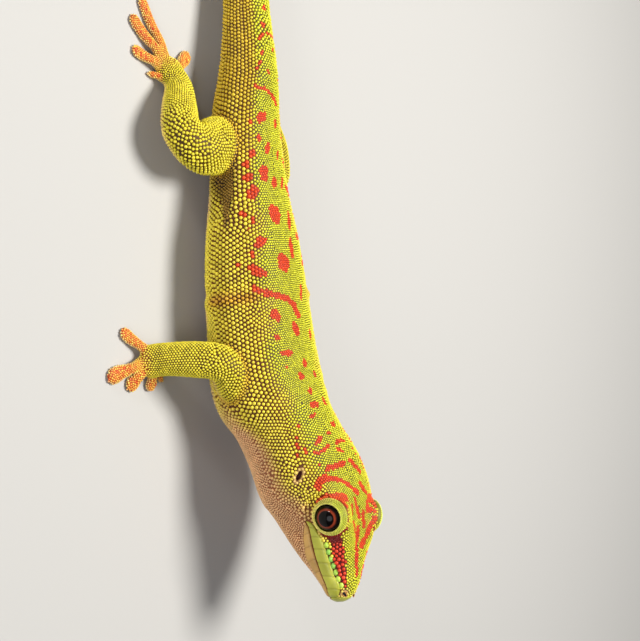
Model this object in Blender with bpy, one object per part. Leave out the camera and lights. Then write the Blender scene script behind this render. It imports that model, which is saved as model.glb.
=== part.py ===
"""A life-size giant day gecko, still, on its four feet with the head raised.

Lengths are millimetres times MM. +X runs along the back towards the snout, +Y to the animal's left,
+Z up from the floor that the feet stand on. Angles round the body start at its left side and turn
over the back, so 90 is the spine, 180 the right side and 270 the belly.
"""

import math

import bmesh
import bpy
from mathutils import Matrix, Vector

MM = 0.001
GAP = 0.3 * MM
ORIGIN = Vector((-61.7, -4.7, 0.0)) * MM

# Points that the middle of the body passes through, from the snout to the tip of the tail.
SPINE = (
    (66.4, 2.4, 34.1),
    (57.0, 4.3, 32.2),
    (48.0, 6.1, 29.9),
    (40.0, 6.2, 26.6),
    (31.5, 4.0, 22.2),
    (23.0, 2.4, 18.2),
    (12.5, 0.6, 14.6),
    (-4.0, -1.2, 12.6),
    (-22.0, -2.8, 12.0),
    (-42.0, -3.4, 11.2),
    (-60.0, -1.9, 9.8),
    (-80.0, -0.4, 7.8),
    (-104.0, 2.0, 5.8),
    (-128.0, 7.5, 4.2),
    (-151.0, 13.5, 3.0),
    (-172.0, 15.5, 2.1),
    (-190.0, 10.5, 1.1),
)

# Distance from the snout, half width, rise to the back, drop to the belly, and how square the
# section is, where 2 is an ellipse.
BODY = (
    (0.0, 3.4, 3.1, 2.3, 2.1),
    (2.5, 4.2, 4.1, 2.8, 2.2),
    (5.5, 5.5, 5.0, 4.3, 2.4),
    (9.0, 7.0, 5.7, 6.2, 2.5),
    (13.0, 8.4, 6.8, 8.4, 2.6),
    (17.5, 9.6, 7.8, 10.6, 2.6),
    (22.0, 10.9, 8.4, 12.4, 2.5),
    (27.0, 12.3, 8.9, 13.3, 2.4),
    (33.0, 13.0, 9.2, 13.6, 2.3),
    (39.0, 12.7, 9.8, 12.8, 2.2),
    (46.0, 13.0, 10.0, 12.7, 2.1),
    (54.0, 15.0, 10.4, 13.8, 2.1),
    (63.0, 15.4, 10.6, 12.4, 2.1),
    (76.0, 14.8, 10.8, 10.3, 2.1),
    (90.0, 13.2, 9.9, 9.4, 2.1),
    (102.0, 11.2, 8.2, 8.5, 2.1),
    (112.0, 9.9, 7.4, 8.2, 2.1),
    (122.0, 8.8, 7.2, 7.8, 2.1),
    (132.0, 7.7, 7.5, 5.9, 2.0),
    (145.0, 6.6, 6.4, 4.2, 2.0),
    (160.0, 6.0, 5.4, 4.2, 2.0),
    (180.0, 5.1, 4.4, 4.6, 2.0),
    (205.0, 3.9, 3.3, 4.0, 2.0),
    (230.0, 2.7, 2.3, 3.0, 2.0),
    (252.0, 1.5, 1.4, 1.8, 2.0),
    (264.0, 0.9, 0.8, 1.0, 2.0),
)
SNOUT_ROUND = 2.8 * MM
TAIL_ROUND = 1.4 * MM

# Swellings and hollows, alike on both sides: distance from the snout, angle above the side, reach
# along and round the body, and height.
SWELLINGS = {
    "eye": (19.1, 33.0, 5.4, 30.0, 0.7),
    "brow": (16.0, 60.0, 3.4, 16.0, 0.6),
    "cheek hollow": (9.0, 24.0, 4.2, 18.0, -0.7),
    "jaw": (15.0, -42.0, 7.0, 30.0, 1.5),
    "jowl": (30.0, -18.0, 8.0, 32.0, 1.5),
    "temple": (26.0, 48.0, 5.0, 22.0, 0.4),
    "groin": (103.0, -6.0, 6.5, 24.0, -2.2),
    "armpit": (68.0, -22.0, 5.0, 20.0, -1.0),
}
CROWN_DIP = (14.0, 90.0, 5.0, 22.0, -0.6)

# Head details: distance from the snout and angle above the side, in millimetres and degrees.
EYE = (18.8, 27.0)
# The eyes look out, a little up and forward; a dome of skin with a round window holds each one.
EYE_UP, EYE_FORWARD = 9.0, 12.0
EYE_RADIUS, EYE_SUNK, DOME_RADIUS = 4.0, 2.8, 4.75
WINDOW_RADIUS, LID_RADIUS, LID_THICK, LID_STANDS = 3.35, 3.8, 0.6, 2.4
NOSTRIL = (1.7, 54.0)
EAR, EAR_TOP, EAR_BOTTOM = (33.6, 31.0), (34.2, 38.0), (32.6, 23.0)
# The closed mouth runs back from under the snout: distance and angle below the side.
MOUTH = ((0.3, 62.0), (1.0, 26.0), (3.0, 6.0), (6.0, 3.0), (14.0, 3.0), (18.0, 1.0), (21.0, 0.0), (22.6, 5.0))
LIP_GROOVE = 0.27
LABIALS = (0.9, 2.9, 5.1, 7.4, 9.8, 12.2, 14.6, 17.0, 19.2)
LABIAL_TALL, LABIAL_OFF, LABIAL_LIFT, LABIAL_SUNK, LABIAL_DEEP = 1.7, 0.33, 0.2, 0.3, 0.9


def clear_scene():
    for obj in list(bpy.data.objects):
        bpy.data.objects.remove(obj, do_unlink=True)
    for group in list(bpy.data.collections):
        bpy.data.collections.remove(group)


def point(x, y, z):
    """A point of the model from millimetres, moved so that the origin lies under its middle."""
    return Vector((x, y, z)) * MM - ORIGIN


# Smooth lines and sections

class Path:
    """A smooth line through given points, read by the distance from the first one."""

    STEPS = 24

    def __init__(self, points):
        ends = [points[0] * 2 - points[1]] + list(points) + [points[-1] * 2 - points[-2]]
        self.places = [points[0].copy()]
        self.knots = [0.0]
        for a, b, c, d in zip(ends, ends[1:], ends[2:], ends[3:]):
            for step in range(1, self.STEPS + 1):
                self.places.append(catmull(a, b, c, d, step / self.STEPS))
            self.knots.append(0.0)
        self.run = [0.0]
        for here, there in zip(self.places, self.places[1:]):
            self.run.append(self.run[-1] + (there - here).length)
        self.knots = self.run[:: self.STEPS]
        self.length = self.run[-1]

    def at(self, along):
        along = min(max(along, 0.0), self.length)
        high = next(i for i, far in enumerate(self.run) if far >= along)
        low = max(high - 1, 0)
        span = self.run[high] - self.run[low]
        share = (along - self.run[low]) / span if span else 0.0
        return self.places[low].lerp(self.places[high], share)

    def heading(self, along, reach=1.0 * MM):
        low = min(max(along - reach, 0.0), self.length - 2 * reach)
        return (self.at(low + 2 * reach) - self.at(low)).normalized()


def catmull(a, b, c, d, t):
    return 0.5 * (2 * b + (c - a) * t + (2 * a - 5 * b + 4 * c - d) * t**2 + (3 * b - a - 3 * c + d) * t**3)


def read_table(rows, along):
    """The values of a table at a distance in millimetres, eased between its rows."""
    high = next((i for i, row in enumerate(rows) if row[0] >= along), len(rows) - 1)
    high = max(high, 1)
    low = high - 1
    before, after = max(low - 1, 0), min(high + 1, len(rows) - 1)
    span = rows[high][0] - rows[low][0]
    t = min(max((along - rows[low][0]) / span, 0.0), 1.0)
    values = []
    for a, b, c, d in zip(rows[before][1:], rows[low][1:], rows[high][1:], rows[after][1:]):
        slope_low = (c - a) / max(rows[high][0] - rows[before][0], 1e-9) * span
        slope_high = (d - b) / max(rows[after][0] - rows[low][0], 1e-9) * span
        values.append(
            b * (2 * t**3 - 3 * t**2 + 1)
            + slope_low * (t**3 - 2 * t**2 + t)
            + c * (3 * t**2 - 2 * t**3)
            + slope_high * (t**3 - t**2)
        )
    return values


def rounding(distance, reach):
    """How full a rounded end is at a distance from its tip, from 0 to 1."""
    share = min(max(distance / reach, 0.0), 1.0)
    return math.sqrt(1 - (1 - share) ** 2)


def on_section(angle, half_width, rise, drop, square):
    """A point of a section: how far to the left and how far up it lies."""
    across, up = math.cos(angle), math.sin(angle)
    power = 2 / square
    return (
        half_width * math.copysign(abs(across) ** power, across),
        (rise if up > 0 else drop) * math.copysign(abs(up) ** power, up),
    )


def bump(along, angle, place):
    far, turn, reach, spread, height = place
    off = (angle - turn + 180) % 360 - 180
    return height * math.exp(-(((along - far) / reach) ** 2) - (off / spread) ** 2)


SPINE_PATH = Path([point(*p) for p in SPINE])


def body_frame(along):
    """Middle of the body, its left and its up, at a distance from the snout."""
    ahead = -SPINE_PATH.heading(along)
    left = Vector((0, 0, 1)).cross(ahead).normalized()
    return SPINE_PATH.at(along), left, ahead.cross(left)


def on_skin(along, angle, lift=0.0):
    """The point of the body's surface at a distance from the snout and an angle in degrees."""
    middle, left, up = body_frame(along)
    half_width, rise, drop, square = read_table(BODY, along / MM)
    end = rounding(along, SNOUT_ROUND) * rounding(SPINE_PATH.length - along, TAIL_ROUND)
    across, above = on_section(math.radians(angle), half_width, rise, drop, square)
    swell = bump(along / MM, angle, CROWN_DIP)
    for place in SWELLINGS.values():
        far, turn, reach, spread, height = place
        swell += bump(along / MM, angle, place)
        swell += bump(along / MM, angle, (far, 180 - turn, reach, spread, height))
    swell = swell * MM + lift
    out = Vector((math.cos(math.radians(angle)), math.sin(math.radians(angle))))
    across, above = across * MM * end + out.x * swell, above * MM * end + out.y * swell
    place = middle + left * across + up * above
    place.z = max(place.z, 0.0)
    return place


def skin_normal(along, angle):
    step = 0.4 * MM
    fore = on_skin(along + step, angle) - on_skin(along - step, angle)
    side = on_skin(along, angle + 3) - on_skin(along, angle - 3)
    normal = side.cross(fore).normalized()
    return normal if normal.dot(on_skin(along, angle) - SPINE_PATH.at(along)) > 0 else -normal


# Colour and roughness of each kind of surface
LOOKS = {
    "head": ((0.42, 0.53, 0.03), 0.45),
    "body": ((0.40, 0.47, 0.03), 0.5),
    "tail": ((0.50, 0.36, 0.04), 0.5),
    "limb": ((0.42, 0.40, 0.03), 0.5),
    "foot": ((0.60, 0.28, 0.07), 0.55),
    "eye": ((0.03, 0.015, 0.01), 0.08),
}


def give_look(obj, look):
    colour, roughness = LOOKS[look]
    material = bpy.data.materials.new(obj.name)
    material.use_nodes = True
    shader = material.node_tree.nodes["Principled BSDF"]
    shader.inputs["Base Color"].default_value = (*colour, 1)
    shader.inputs["Roughness"].default_value = roughness
    shader.inputs["Metallic"].default_value = 0.0
    obj.data.materials.clear()
    obj.data.materials.append(material)


# Solids

def mesh_object(name, bm):
    mesh = bpy.data.meshes.new(name)
    bmesh.ops.recalc_face_normals(bm, faces=bm.faces)
    bm.to_mesh(mesh)
    bm.free()
    obj = bpy.data.objects.new(name, mesh)
    bpy.context.scene.collection.objects.link(obj)
    return obj


def loft(name, rings):
    """A closed skin over rings of points, with a fan at each end."""
    bm = bmesh.new()
    rows = [[bm.verts.new(p) for p in ring] for ring in rings]
    for near, far in zip(rows, rows[1:]):
        for i in range(len(near)):
            j = (i + 1) % len(near)
            bm.faces.new((near[i], near[j], far[j], far[i]))
    for row in (rows[0], rows[-1]):
        middle = bm.verts.new(sum((v.co for v in row), Vector()) / len(row))
        for i in range(len(row)):
            bm.faces.new((row[i], row[(i + 1) % len(row)], middle))
    return mesh_object(name, bm)


def combine(target, others, operation, solver="EXACT"):
    """One Boolean of a solid with a collection of others, which are then removed."""
    group = bpy.data.collections.new("operands")
    bpy.context.scene.collection.children.link(group)
    for other in others:
        for owner in list(other.users_collection):
            owner.objects.unlink(other)
        group.objects.link(other)
        other.hide_render = True
        other.display_type = "WIRE"
    boolean = target.modifiers.new("join", "BOOLEAN")
    boolean.operation = operation
    boolean.operand_type = "COLLECTION"
    boolean.collection = group
    boolean.solver = solver
    target.data = fixed(target)
    target.modifiers.clear()
    for other in others:
        bpy.data.objects.remove(other, do_unlink=True)
    bpy.data.collections.remove(group)


def fixed(obj):
    """The mesh of an object with its modifiers applied."""
    graph = bpy.context.evaluated_depsgraph_get()
    return bpy.data.meshes.new_from_object(obj.evaluated_get(graph))


def islands(bm):
    left = set(bm.verts)
    while left:
        front = [left.pop()]
        island = set(front)
        while front:
            vert = front.pop()
            for edge in vert.link_edges:
                other = edge.other_vert(vert)
                if other in left:
                    left.remove(other)
                    island.add(other)
                    front.append(other)
        yield island


def part_out(obj, names, order):
    """Split a cut solid into its largest bodies, named in the given order of their middles."""
    bodies = []
    source = bmesh.new()
    source.from_mesh(obj.data)
    source.faces.ensure_lookup_table()
    for island in list(islands(source)):
        body = bmesh.new()
        copy = {vert: body.verts.new(vert.co) for vert in island}
        for face in source.faces:
            if face.verts[0] in island:
                corners = [copy[vert] for vert in face.verts]
                if body.faces.get(corners) is None:
                    body.faces.new(corners)
        bmesh.ops.triangulate(body, faces=body.faces)
        middle = sum((vert.co for vert in body.verts), Vector())
        bodies.append((abs(body.calc_volume()), middle / len(body.verts), body))
    source.free()
    bodies.sort(key=lambda item: -item[0])
    for _, _, scrap in bodies[len(names):]:
        scrap.free()
    kept = sorted(bodies[: len(names)], key=lambda item: order(item[1]))
    bpy.data.objects.remove(obj, do_unlink=True)
    return [mesh_object(name, body) for name, (_, _, body) in zip(names, kept)]


def turned(direction, upright=Vector((0, 0, 1))):
    """The turn that brings local Z onto a direction and local Y as near as it goes to upright."""
    z = direction.normalized()
    x = upright.cross(z).normalized()
    return Matrix((x, z.cross(x), z)).transposed().to_4x4()


def disc(place, direction, radius):
    """A thin round plate that parts two pieces."""
    bpy.ops.mesh.primitive_cylinder_add(vertices=32, radius=radius, depth=GAP)
    plate = bpy.context.object
    plate.matrix_world = Matrix.Translation(place) @ turned(direction)
    return plate


def ball(name, place, radii, turn=Matrix.Identity(4), segments=20, rings=12):
    """A ball or an egg shape with its own half lengths along its axes."""
    bpy.ops.mesh.primitive_uv_sphere_add(segments=segments, ring_count=rings, radius=1)
    obj = bpy.context.object
    obj.name = name
    shape = Matrix.Translation(place) @ turn @ Matrix.Diagonal((*[r * MM for r in radii], 1))
    obj.data.transform(shape)
    return obj


# The trunk from snout to tail

AROUND = 28
HEAD_STEP, TRUNK_STEP, TAIL_STEP = 1.7, 3.6, 6.0
SNOUT_RINGS = (0.12, 0.45, 0.95, 1.6, 2.4)


def body_stations():
    """Distances from the snout of the rings of the body, closest on the head."""
    stations = [far * MM for far in SNOUT_RINGS]
    while stations[-1] < SPINE_PATH.length - 3 * MM:
        far = stations[-1] / MM
        step = HEAD_STEP if far < 38 else TRUNK_STEP if far < 135 else TAIL_STEP
        stations.append((far + step) * MM)
    stations = [far for far in stations if far < SPINE_PATH.length - 1.2 * MM]
    return stations + [SPINE_PATH.length - 0.9 * MM, SPINE_PATH.length - 0.2 * MM]


def trunk(name, lift=0.0):
    rings = []
    for along in body_stations():
        rings.append([on_skin(along, 360 * i / AROUND, lift) for i in range(AROUND)])
    return loft(name, rings)


# Head details, each made once for either side

def on_side(side, spot, lift=0.0):
    """A point on one side of the head, given as distance and angle above that side."""
    far, above = spot
    return on_skin(far * MM, 180 - above if side == "right" else above, lift)


def out_of(side, spot):
    far, above = spot
    return skin_normal(far * MM, 180 - above if side == "right" else above)


def eye_axis(side):
    _, left, up = body_frame(EYE[0] * MM)
    level = -left if side == "right" else left
    rise, ahead = math.radians(EYE_UP), math.radians(EYE_FORWARD)
    outward = level * math.cos(rise) + up * math.sin(rise)
    return outward * math.cos(ahead) - SPINE_PATH.heading(EYE[0] * MM) * math.sin(ahead)


def eye_place(side):
    return on_side(side, EYE) - eye_axis(side) * EYE_SUNK * MM


def dome(side):
    radii = (DOME_RADIUS * 1.04, DOME_RADIUS, DOME_RADIUS)
    return ball("dome", eye_place(side) - eye_axis(side) * 0.2 * MM, radii, turned(eye_axis(side)), 24, 14)


def lid(side):
    """The ring of lid round the window of an eye."""
    bpy.ops.mesh.primitive_torus_add(
        major_radius=LID_RADIUS * MM, minor_radius=LID_THICK * MM, major_segments=24, minor_segments=6
    )
    ring = bpy.context.object
    axis = eye_axis(side)
    ring.matrix_world = Matrix.Translation(eye_place(side) + axis * LID_STANDS * MM) @ turned(axis)
    return ring


def window(side):
    """A round plug that opens the dome in front of the eye."""
    bpy.ops.mesh.primitive_cylinder_add(vertices=24, radius=WINDOW_RADIUS * MM, depth=5 * MM)
    plug = bpy.context.object
    axis = eye_axis(side)
    plug.matrix_world = Matrix.Translation(eye_place(side) + axis * 5 * MM) @ turned(axis)
    return plug


def mouth_line(far):
    """Angle above the side of the closed lips at a distance from the snout."""
    return -read_table(MOUTH, far)[0]


def mouth_groove():
    """A thin round groove along the lips, from one corner of the mouth to the other."""
    stations = [0.3, 0.7, 1.2, 2.0, 3.2, 5.0] + [7.0 + 1.6 * i for i in range(10)]
    right = [on_side("right", (far, mouth_line(far))) for far in reversed(stations)]
    left = [on_side("left", (far, mouth_line(far))) for far in stations]
    curve = bpy.data.curves.new("mouth_groove", "CURVE")
    curve.dimensions = "3D"
    curve.bevel_depth = LIP_GROOVE * MM
    curve.bevel_resolution = 1
    curve.use_fill_caps = True
    spline = curve.splines.new("POLY")
    line = right + left
    spline.points.add(len(line) - 1)
    for dot, place in zip(spline.points, line):
        dot.co = (*place, 1)
    guide = bpy.data.objects.new("mouth_guide", curve)
    bpy.context.scene.collection.objects.link(guide)
    mesh = fixed(guide)
    bpy.data.objects.remove(guide, do_unlink=True)
    bm = bmesh.new()
    bm.from_mesh(mesh)
    bmesh.ops.remove_doubles(bm, verts=bm.verts, dist=0.00002)
    return mesh_object("mouth_groove", bm)


def labial(side, near, far, upper):
    """One raised plate along a lip: a sheet, sunk at its border, extruded into the head."""
    bm = bmesh.new()
    bmesh.ops.create_grid(bm, x_segments=4, y_segments=4, size=1)
    below = bmesh.ops.extrude_face_region(bm, geom=bm.faces[:], use_keep_orig=True)["geom"]
    for vert in bm.verts:
        u, v = vert.co.x, vert.co.y
        border = max(abs(u), abs(v)) > 0.99
        u, v = (math.copysign(0.86, c) if 0.4 < abs(c) < 0.6 else c for c in (u, v))
        spot = near + (far - near) * (0.5 + 0.5 * u)
        half_width = read_table(BODY, spot)[0] * rounding(spot * MM, SNOUT_ROUND)
        turn = math.degrees(1 / max(half_width, 2.0)) * (1 if upper else -0.9)
        above = mouth_line(spot) + (LABIAL_OFF + LABIAL_TALL * (0.5 + 0.5 * v)) * turn
        lift = -LABIAL_DEEP if vert in below else -LABIAL_SUNK if border else LABIAL_LIFT
        vert.co = on_side(side, (spot, above), lift * MM)
    return mesh_object("labial", bm)


def nostril(side):
    axis = out_of(side, NOSTRIL)
    place = on_side(side, NOSTRIL)
    return ball("nostril_cut", place, (0.45, 0.34, 0.8), turned(axis), 12, 8)


def ear(side):
    """A slanted slit with a deep floor."""
    axis = out_of(side, EAR)
    slant = on_side(side, EAR_TOP) - on_side(side, EAR_BOTTOM)
    return ball("ear_cut", on_side(side, EAR), (0.62, 1.75, 1.7), turned(axis, slant), 16, 10)


# Places along the body, in millimetres from the snout, where the trunk is parted
TRUNK_NAMES = ("head", "neck", "torso", "tail_base", "tail_middle", "tail_tip")
TRUNK_CUTS = (38.5, 49.0, 124.0, 166.0, 212.0)


def build_trunk():
    """The trunk, parted into its pieces. The exact solver leaves the head open, so it isn't used."""
    body = trunk("trunk")
    added = [make(side) for make in (dome, lid) for side in ("right", "left")]
    for side in ("right", "left"):
        for near, far in zip(LABIALS, LABIALS[1:]):
            added.append(labial(side, near + 0.06, far - 0.06, True))
            added.append(labial(side, near + 0.06, far - 0.06, False))
    combine(body, added, "UNION", "MANIFOLD")
    room = EYE_RADIUS + GAP / MM
    cuts = [ball("socket", eye_place(side), (room, room, room), turned(eye_axis(side)), 20, 12)
            for side in ("right", "left")]
    cuts += [mouth_groove()]
    for side in ("right", "left"):
        cuts += [window(side), nostril(side), ear(side)]
    combine(body, cuts, "DIFFERENCE", "MANIFOLD")
    plates = [disc(SPINE_PATH.at(far * MM), SPINE_PATH.heading(far * MM), 30 * MM) for far in TRUNK_CUTS]
    combine(body, plates, "DIFFERENCE", "MANIFOLD")
    for piece in part_out(body, TRUNK_NAMES, lambda middle: -middle.x):
        give_look(piece, {"head": "head", "neck": "body", "torso": "body"}.get(piece.name, "tail"))


def build_eyes():
    for side in ("right", "left"):
        radii = (EYE_RADIUS,) * 3
        eye = ball(f"eye_{side}", eye_place(side), radii, turned(eye_axis(side)), 22, 14)
        eye.data.shade_smooth()
        give_look(eye, "eye")


# Legs, each through hand-placed points: x, y, z, half width and half height

LEGS = {
    "right_fore": (
        (19.0, -4.0, 12.5, 5.0, 5.0),
        (14.7, -11.5, 14.0, 5.1, 4.9),
        (10.0, -17.0, 14.2, 4.4, 4.2),
        (9.0, -21.5, 10.4, 4.3, 4.0),
        (8.9, -25.6, 5.4, 4.0, 3.4),
        (9.3, -28.2, 2.6, 4.0, 2.6),
        (9.9, -30.8, 1.4, 3.4, 1.8),
    ),
    "left_fore": (
        (19.0, 4.0, 12.5, 5.0, 5.0),
        (14.5, 11.8, 12.6, 4.8, 4.8),
        (10.0, 17.2, 11.4, 4.0, 3.9),
        (13.5, 20.2, 8.2, 3.8, 3.6),
        (18.5, 20.9, 4.4, 3.2, 2.9),
        (22.0, 20.9, 2.1, 3.4, 2.4),
        (25.0, 20.7, 1.3, 2.9, 1.7),
    ),
    "right_hind": (
        (-41.2, -4.0, 7.6, 6.0, 5.2),
        (-41.4, -12.6, 9.4, 7.0, 5.6),
        (-40.0, -20.5, 10.6, 6.0, 5.0),
        (-43.4, -25.2, 9.2, 4.8, 4.5),
        (-49.0, -23.2, 6.7, 4.3, 4.1),
        (-54.8, -20.5, 4.0, 3.6, 3.2),
        (-58.5, -21.3, 2.2, 3.7, 2.5),
        (-61.8, -22.3, 1.4, 3.1, 1.8),
    ),
    "left_hind": (
        (-43.0, 1.0, 7.6, 5.4, 5.2),
        (-39.6, 7.0, 6.8, 5.2, 5.0),
        (-36.0, 12.4, 6.0, 4.4, 4.4),
        (-39.0, 16.0, 5.2, 4.0, 4.0),
        (-45.6, 16.2, 4.4, 3.7, 3.7),
        (-51.3, 15.2, 3.4, 3.2, 2.8),
        (-55.0, 15.0, 2.0, 3.5, 2.3),
        (-58.2, 15.4, 1.3, 3.0, 1.7),
    ),
}
# For each leg, its three pieces, where between its points, counted from 0, they meet, and how
# much wider than the leg the plates are that part them
PIECES = {
    "fore": (("upper_arm", "forearm", "hand"), (2.0, 4), 1.45),
    "hind": (("thigh", "shank", "foot"), (3.15, 5), 1.2),
}

# Toes, from the inner one out: root and tip on the floor, half width of stem and of pad.
TOES = {
    "right_fore": (
        (11.0, -25.2, 14.6, -22.4, 0.8, 0.9),
        (11.4, -27.0, 16.6, -26.0, 1.3, 2.1),
        (10.8, -29.2, 15.9, -34.0, 1.3, 2.2),
        (9.6, -30.2, 13.0, -40.4, 1.4, 2.2),
        (7.6, -28.2, 2.0, -36.2, 1.3, 1.7),
    ),
    "left_fore": (
        (21.4, 19.2, 23.6, 15.8, 0.8, 0.8),
        (22.8, 19.6, 30.0, 16.2, 1.0, 1.5),
        (23.8, 20.4, 34.0, 20.2, 1.1, 1.9),
        (23.4, 21.4, 32.0, 26.0, 1.1, 2.0),
        (21.8, 22.4, 24.6, 31.2, 1.1, 1.5),
    ),
    "right_hind": (
        (-56.4, -23.0, -57.2, -27.4, 0.9, 0.9),
        (-58.8, -23.6, -62.0, -32.6, 1.2, 1.6),
        (-60.0, -22.9, -69.4, -33.0, 1.2, 1.7),
        (-60.4, -21.8, -74.2, -29.8, 1.1, 1.6),
        (-58.6, -19.4, -64.4, -12.6, 1.4, 2.0),
    ),
    "left_hind": (
        (-53.4, 16.4, -53.9, 20.4, 0.9, 0.9),
        (-55.6, 16.6, -58.6, 23.8, 1.2, 1.6),
        (-56.8, 16.2, -65.4, 22.8, 1.2, 1.7),
        (-57.2, 15.2, -70.4, 18.4, 1.1, 1.6),
        (-55.6, 13.8, -62.4, 7.4, 1.1, 1.7),
    ),
}
LEG_AROUND, LEG_RINGS = 14, 16
TOE_AROUND, TOE_RINGS = 8, 7
PAD_HEIGHT, KNUCKLE = 0.6, 1.1
LEG_REACH, TOE_REACH = 4.0, 2.2


def tube_frame(path, along, reach):
    """Middle of a tube, its side and its up, with its heading read over a reach to either side."""
    ahead = path.heading(along, reach * MM)
    across = Vector((0, 0, 1)).cross(ahead)
    across.normalize()
    return path.at(along), across, ahead.cross(across)


def leg_path(name):
    rows = LEGS[name]
    path = Path([point(*row[:3]) for row in rows])
    return path, [(far / MM, *row[3:]) for far, row in zip(path.knots, rows)]


def leg(name):
    """A leg from its root in the trunk to the knuckles, bottoms kept at the floor."""
    path, sizes = leg_path(name)
    rings = []
    for step in range(LEG_RINGS + 1):
        along = path.length * (0.01 + 0.985 * step / LEG_RINGS)
        middle, across, above = tube_frame(path, along, LEG_REACH)
        half_width, half_height = read_table(sizes, along / MM)
        end = rounding(path.length - along, 2.4 * MM)
        ring = []
        for i in range(LEG_AROUND):
            angle = 2 * math.pi * i / LEG_AROUND
            side = across * half_width * math.cos(angle) + above * half_height * math.sin(angle)
            place = middle + side * MM * end
            place.z = max(place.z, 0.0)
            ring.append(place)
        rings.append(ring)
    return loft(name, rings)


def toe(name, x, y, tip_x, tip_y, stem, pad):
    """One toe: a thin stem arched over a knuckle, then a broad flat pad with a round end."""
    root, tip = Vector((x, y)), Vector((tip_x, tip_y))
    length = (tip - root).length
    heights = (1.3, 1.3 + KNUCKLE * min(length / 12, 1) * 0.5, 0.8, PAD_HEIGHT)
    shares = (0.0, 0.3, 0.62, 1.0)
    points = []
    for share, height in zip(shares, heights):
        flat = root.lerp(tip, share)
        points.append(point(flat.x, flat.y, height))
    path = Path(points)
    widths = ((0, stem * 1.1, 1.3), (35, stem, 1.1), (68, pad * 0.98, 0.95), (100, pad, 0.85))
    rings = []
    for step in range(TOE_RINGS + 1):
        share = 1 - (1 - step / TOE_RINGS) ** 1.35
        along = path.length * min(share, 0.995)
        middle, across, above = tube_frame(path, along, TOE_REACH)
        half_width, half_height = read_table(widths, 100 * along / path.length)
        end = rounding(path.length - along, pad * 1.15 * MM)
        ring = []
        for i in range(TOE_AROUND):
            angle = 2 * math.pi * (i + 0.5) / TOE_AROUND
            side = across * half_width * math.cos(angle) + above * half_height * math.sin(angle)
            place = middle + side * MM * end
            place.z = max(place.z, 0.0)
            ring.append(place)
        rings.append(ring)
    return loft(name, rings)


def build_leg(name):
    """A leg with its toes, cut to the side of the trunk and parted at its joints."""
    side, end = name.split("_")
    limb = leg(name)
    toes = [toe(f"{name}_toe_{number + 1}", *row) for number, row in enumerate(TOES[name])]
    combine(limb, toes, "UNION")
    path, sizes = leg_path(name)
    titles, joints, reach = PIECES[end]
    cuts = [trunk("trunk_room", GAP)]
    for joint in joints:
        before = int(joint)
        far = path.knots[before] + (path.knots[before + 1] - path.knots[before]) * (joint - before)
        radius = reach * max(LEGS[name][before][3:]) * MM
        cuts.append(disc(path.at(far), path.heading(far, LEG_REACH * MM), radius))
    combine(limb, cuts, "DIFFERENCE")
    root = path.at(0)
    names = [f"{title}_{side}" for title in titles]
    for piece in part_out(limb, names, lambda middle: (middle - root).length):
        give_look(piece, "foot" if piece.name.startswith(("hand", "foot")) else "limb")


def main():
    clear_scene()
    build_trunk()
    build_eyes()
    for name in LEGS:
        build_leg(name)
    gecko = bpy.data.collections.new("giant_day_gecko")
    bpy.context.scene.collection.children.link(gecko)
    for obj in list(bpy.context.scene.collection.objects):
        bpy.context.scene.collection.objects.unlink(obj)
        gecko.objects.link(obj)


main()
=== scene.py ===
"""The looks of a life-size giant day gecko: skin, scales, lips, eyes, feet and their markings.

Lengths are millimetres until a mesh is made, and angles round the body are degrees from its left
side over the back, so 90 is the spine, 180 the right side and 270 the belly.
"""

import math

import bmesh
import bpy
import numpy as np
from mathutils import Matrix, Vector
from mathutils.bvhtree import BVHTree
from mathutils.kdtree import KDTree


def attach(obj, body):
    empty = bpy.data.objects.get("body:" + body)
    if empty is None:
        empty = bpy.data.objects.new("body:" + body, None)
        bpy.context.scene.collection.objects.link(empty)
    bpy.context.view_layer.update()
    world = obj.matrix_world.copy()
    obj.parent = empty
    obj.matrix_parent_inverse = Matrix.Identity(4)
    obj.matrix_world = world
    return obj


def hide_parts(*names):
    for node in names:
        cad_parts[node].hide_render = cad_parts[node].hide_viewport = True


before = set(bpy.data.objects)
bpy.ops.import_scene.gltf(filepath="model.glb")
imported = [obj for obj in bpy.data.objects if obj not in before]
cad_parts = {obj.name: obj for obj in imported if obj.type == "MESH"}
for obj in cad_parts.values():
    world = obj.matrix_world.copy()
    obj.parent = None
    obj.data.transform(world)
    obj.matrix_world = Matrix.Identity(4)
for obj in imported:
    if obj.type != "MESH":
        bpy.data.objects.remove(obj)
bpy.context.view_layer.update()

# The run of the body
# A gecko's trunk is one smooth barrel from snout to tail tip. It follows the same spine, sections
# and swellings as the solids, so that the skin lies just under their faces.

MM = 0.001
ORIGIN = np.array((-61.7, -4.7, 0.0))
# The middle of the body from the snout to the tail tip, as drawn, where the model's origin is ORIGIN
SPINE = (
    (66.4, 2.4, 34.1), (57.0, 4.3, 32.2), (48.0, 6.1, 29.9), (40.0, 6.2, 26.6), (31.5, 4.0, 22.2),
    (23.0, 2.4, 18.2), (12.5, 0.6, 14.6), (-4.0, -1.2, 12.6), (-22.0, -2.8, 12.0), (-42.0, -3.4, 11.2),
    (-60.0, -1.9, 9.8), (-80.0, -0.4, 7.8), (-104.0, 2.0, 5.8), (-128.0, 7.5, 4.2), (-151.0, 13.5, 3.0),
    (-172.0, 15.5, 2.1), (-190.0, 10.5, 1.1),
)
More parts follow.
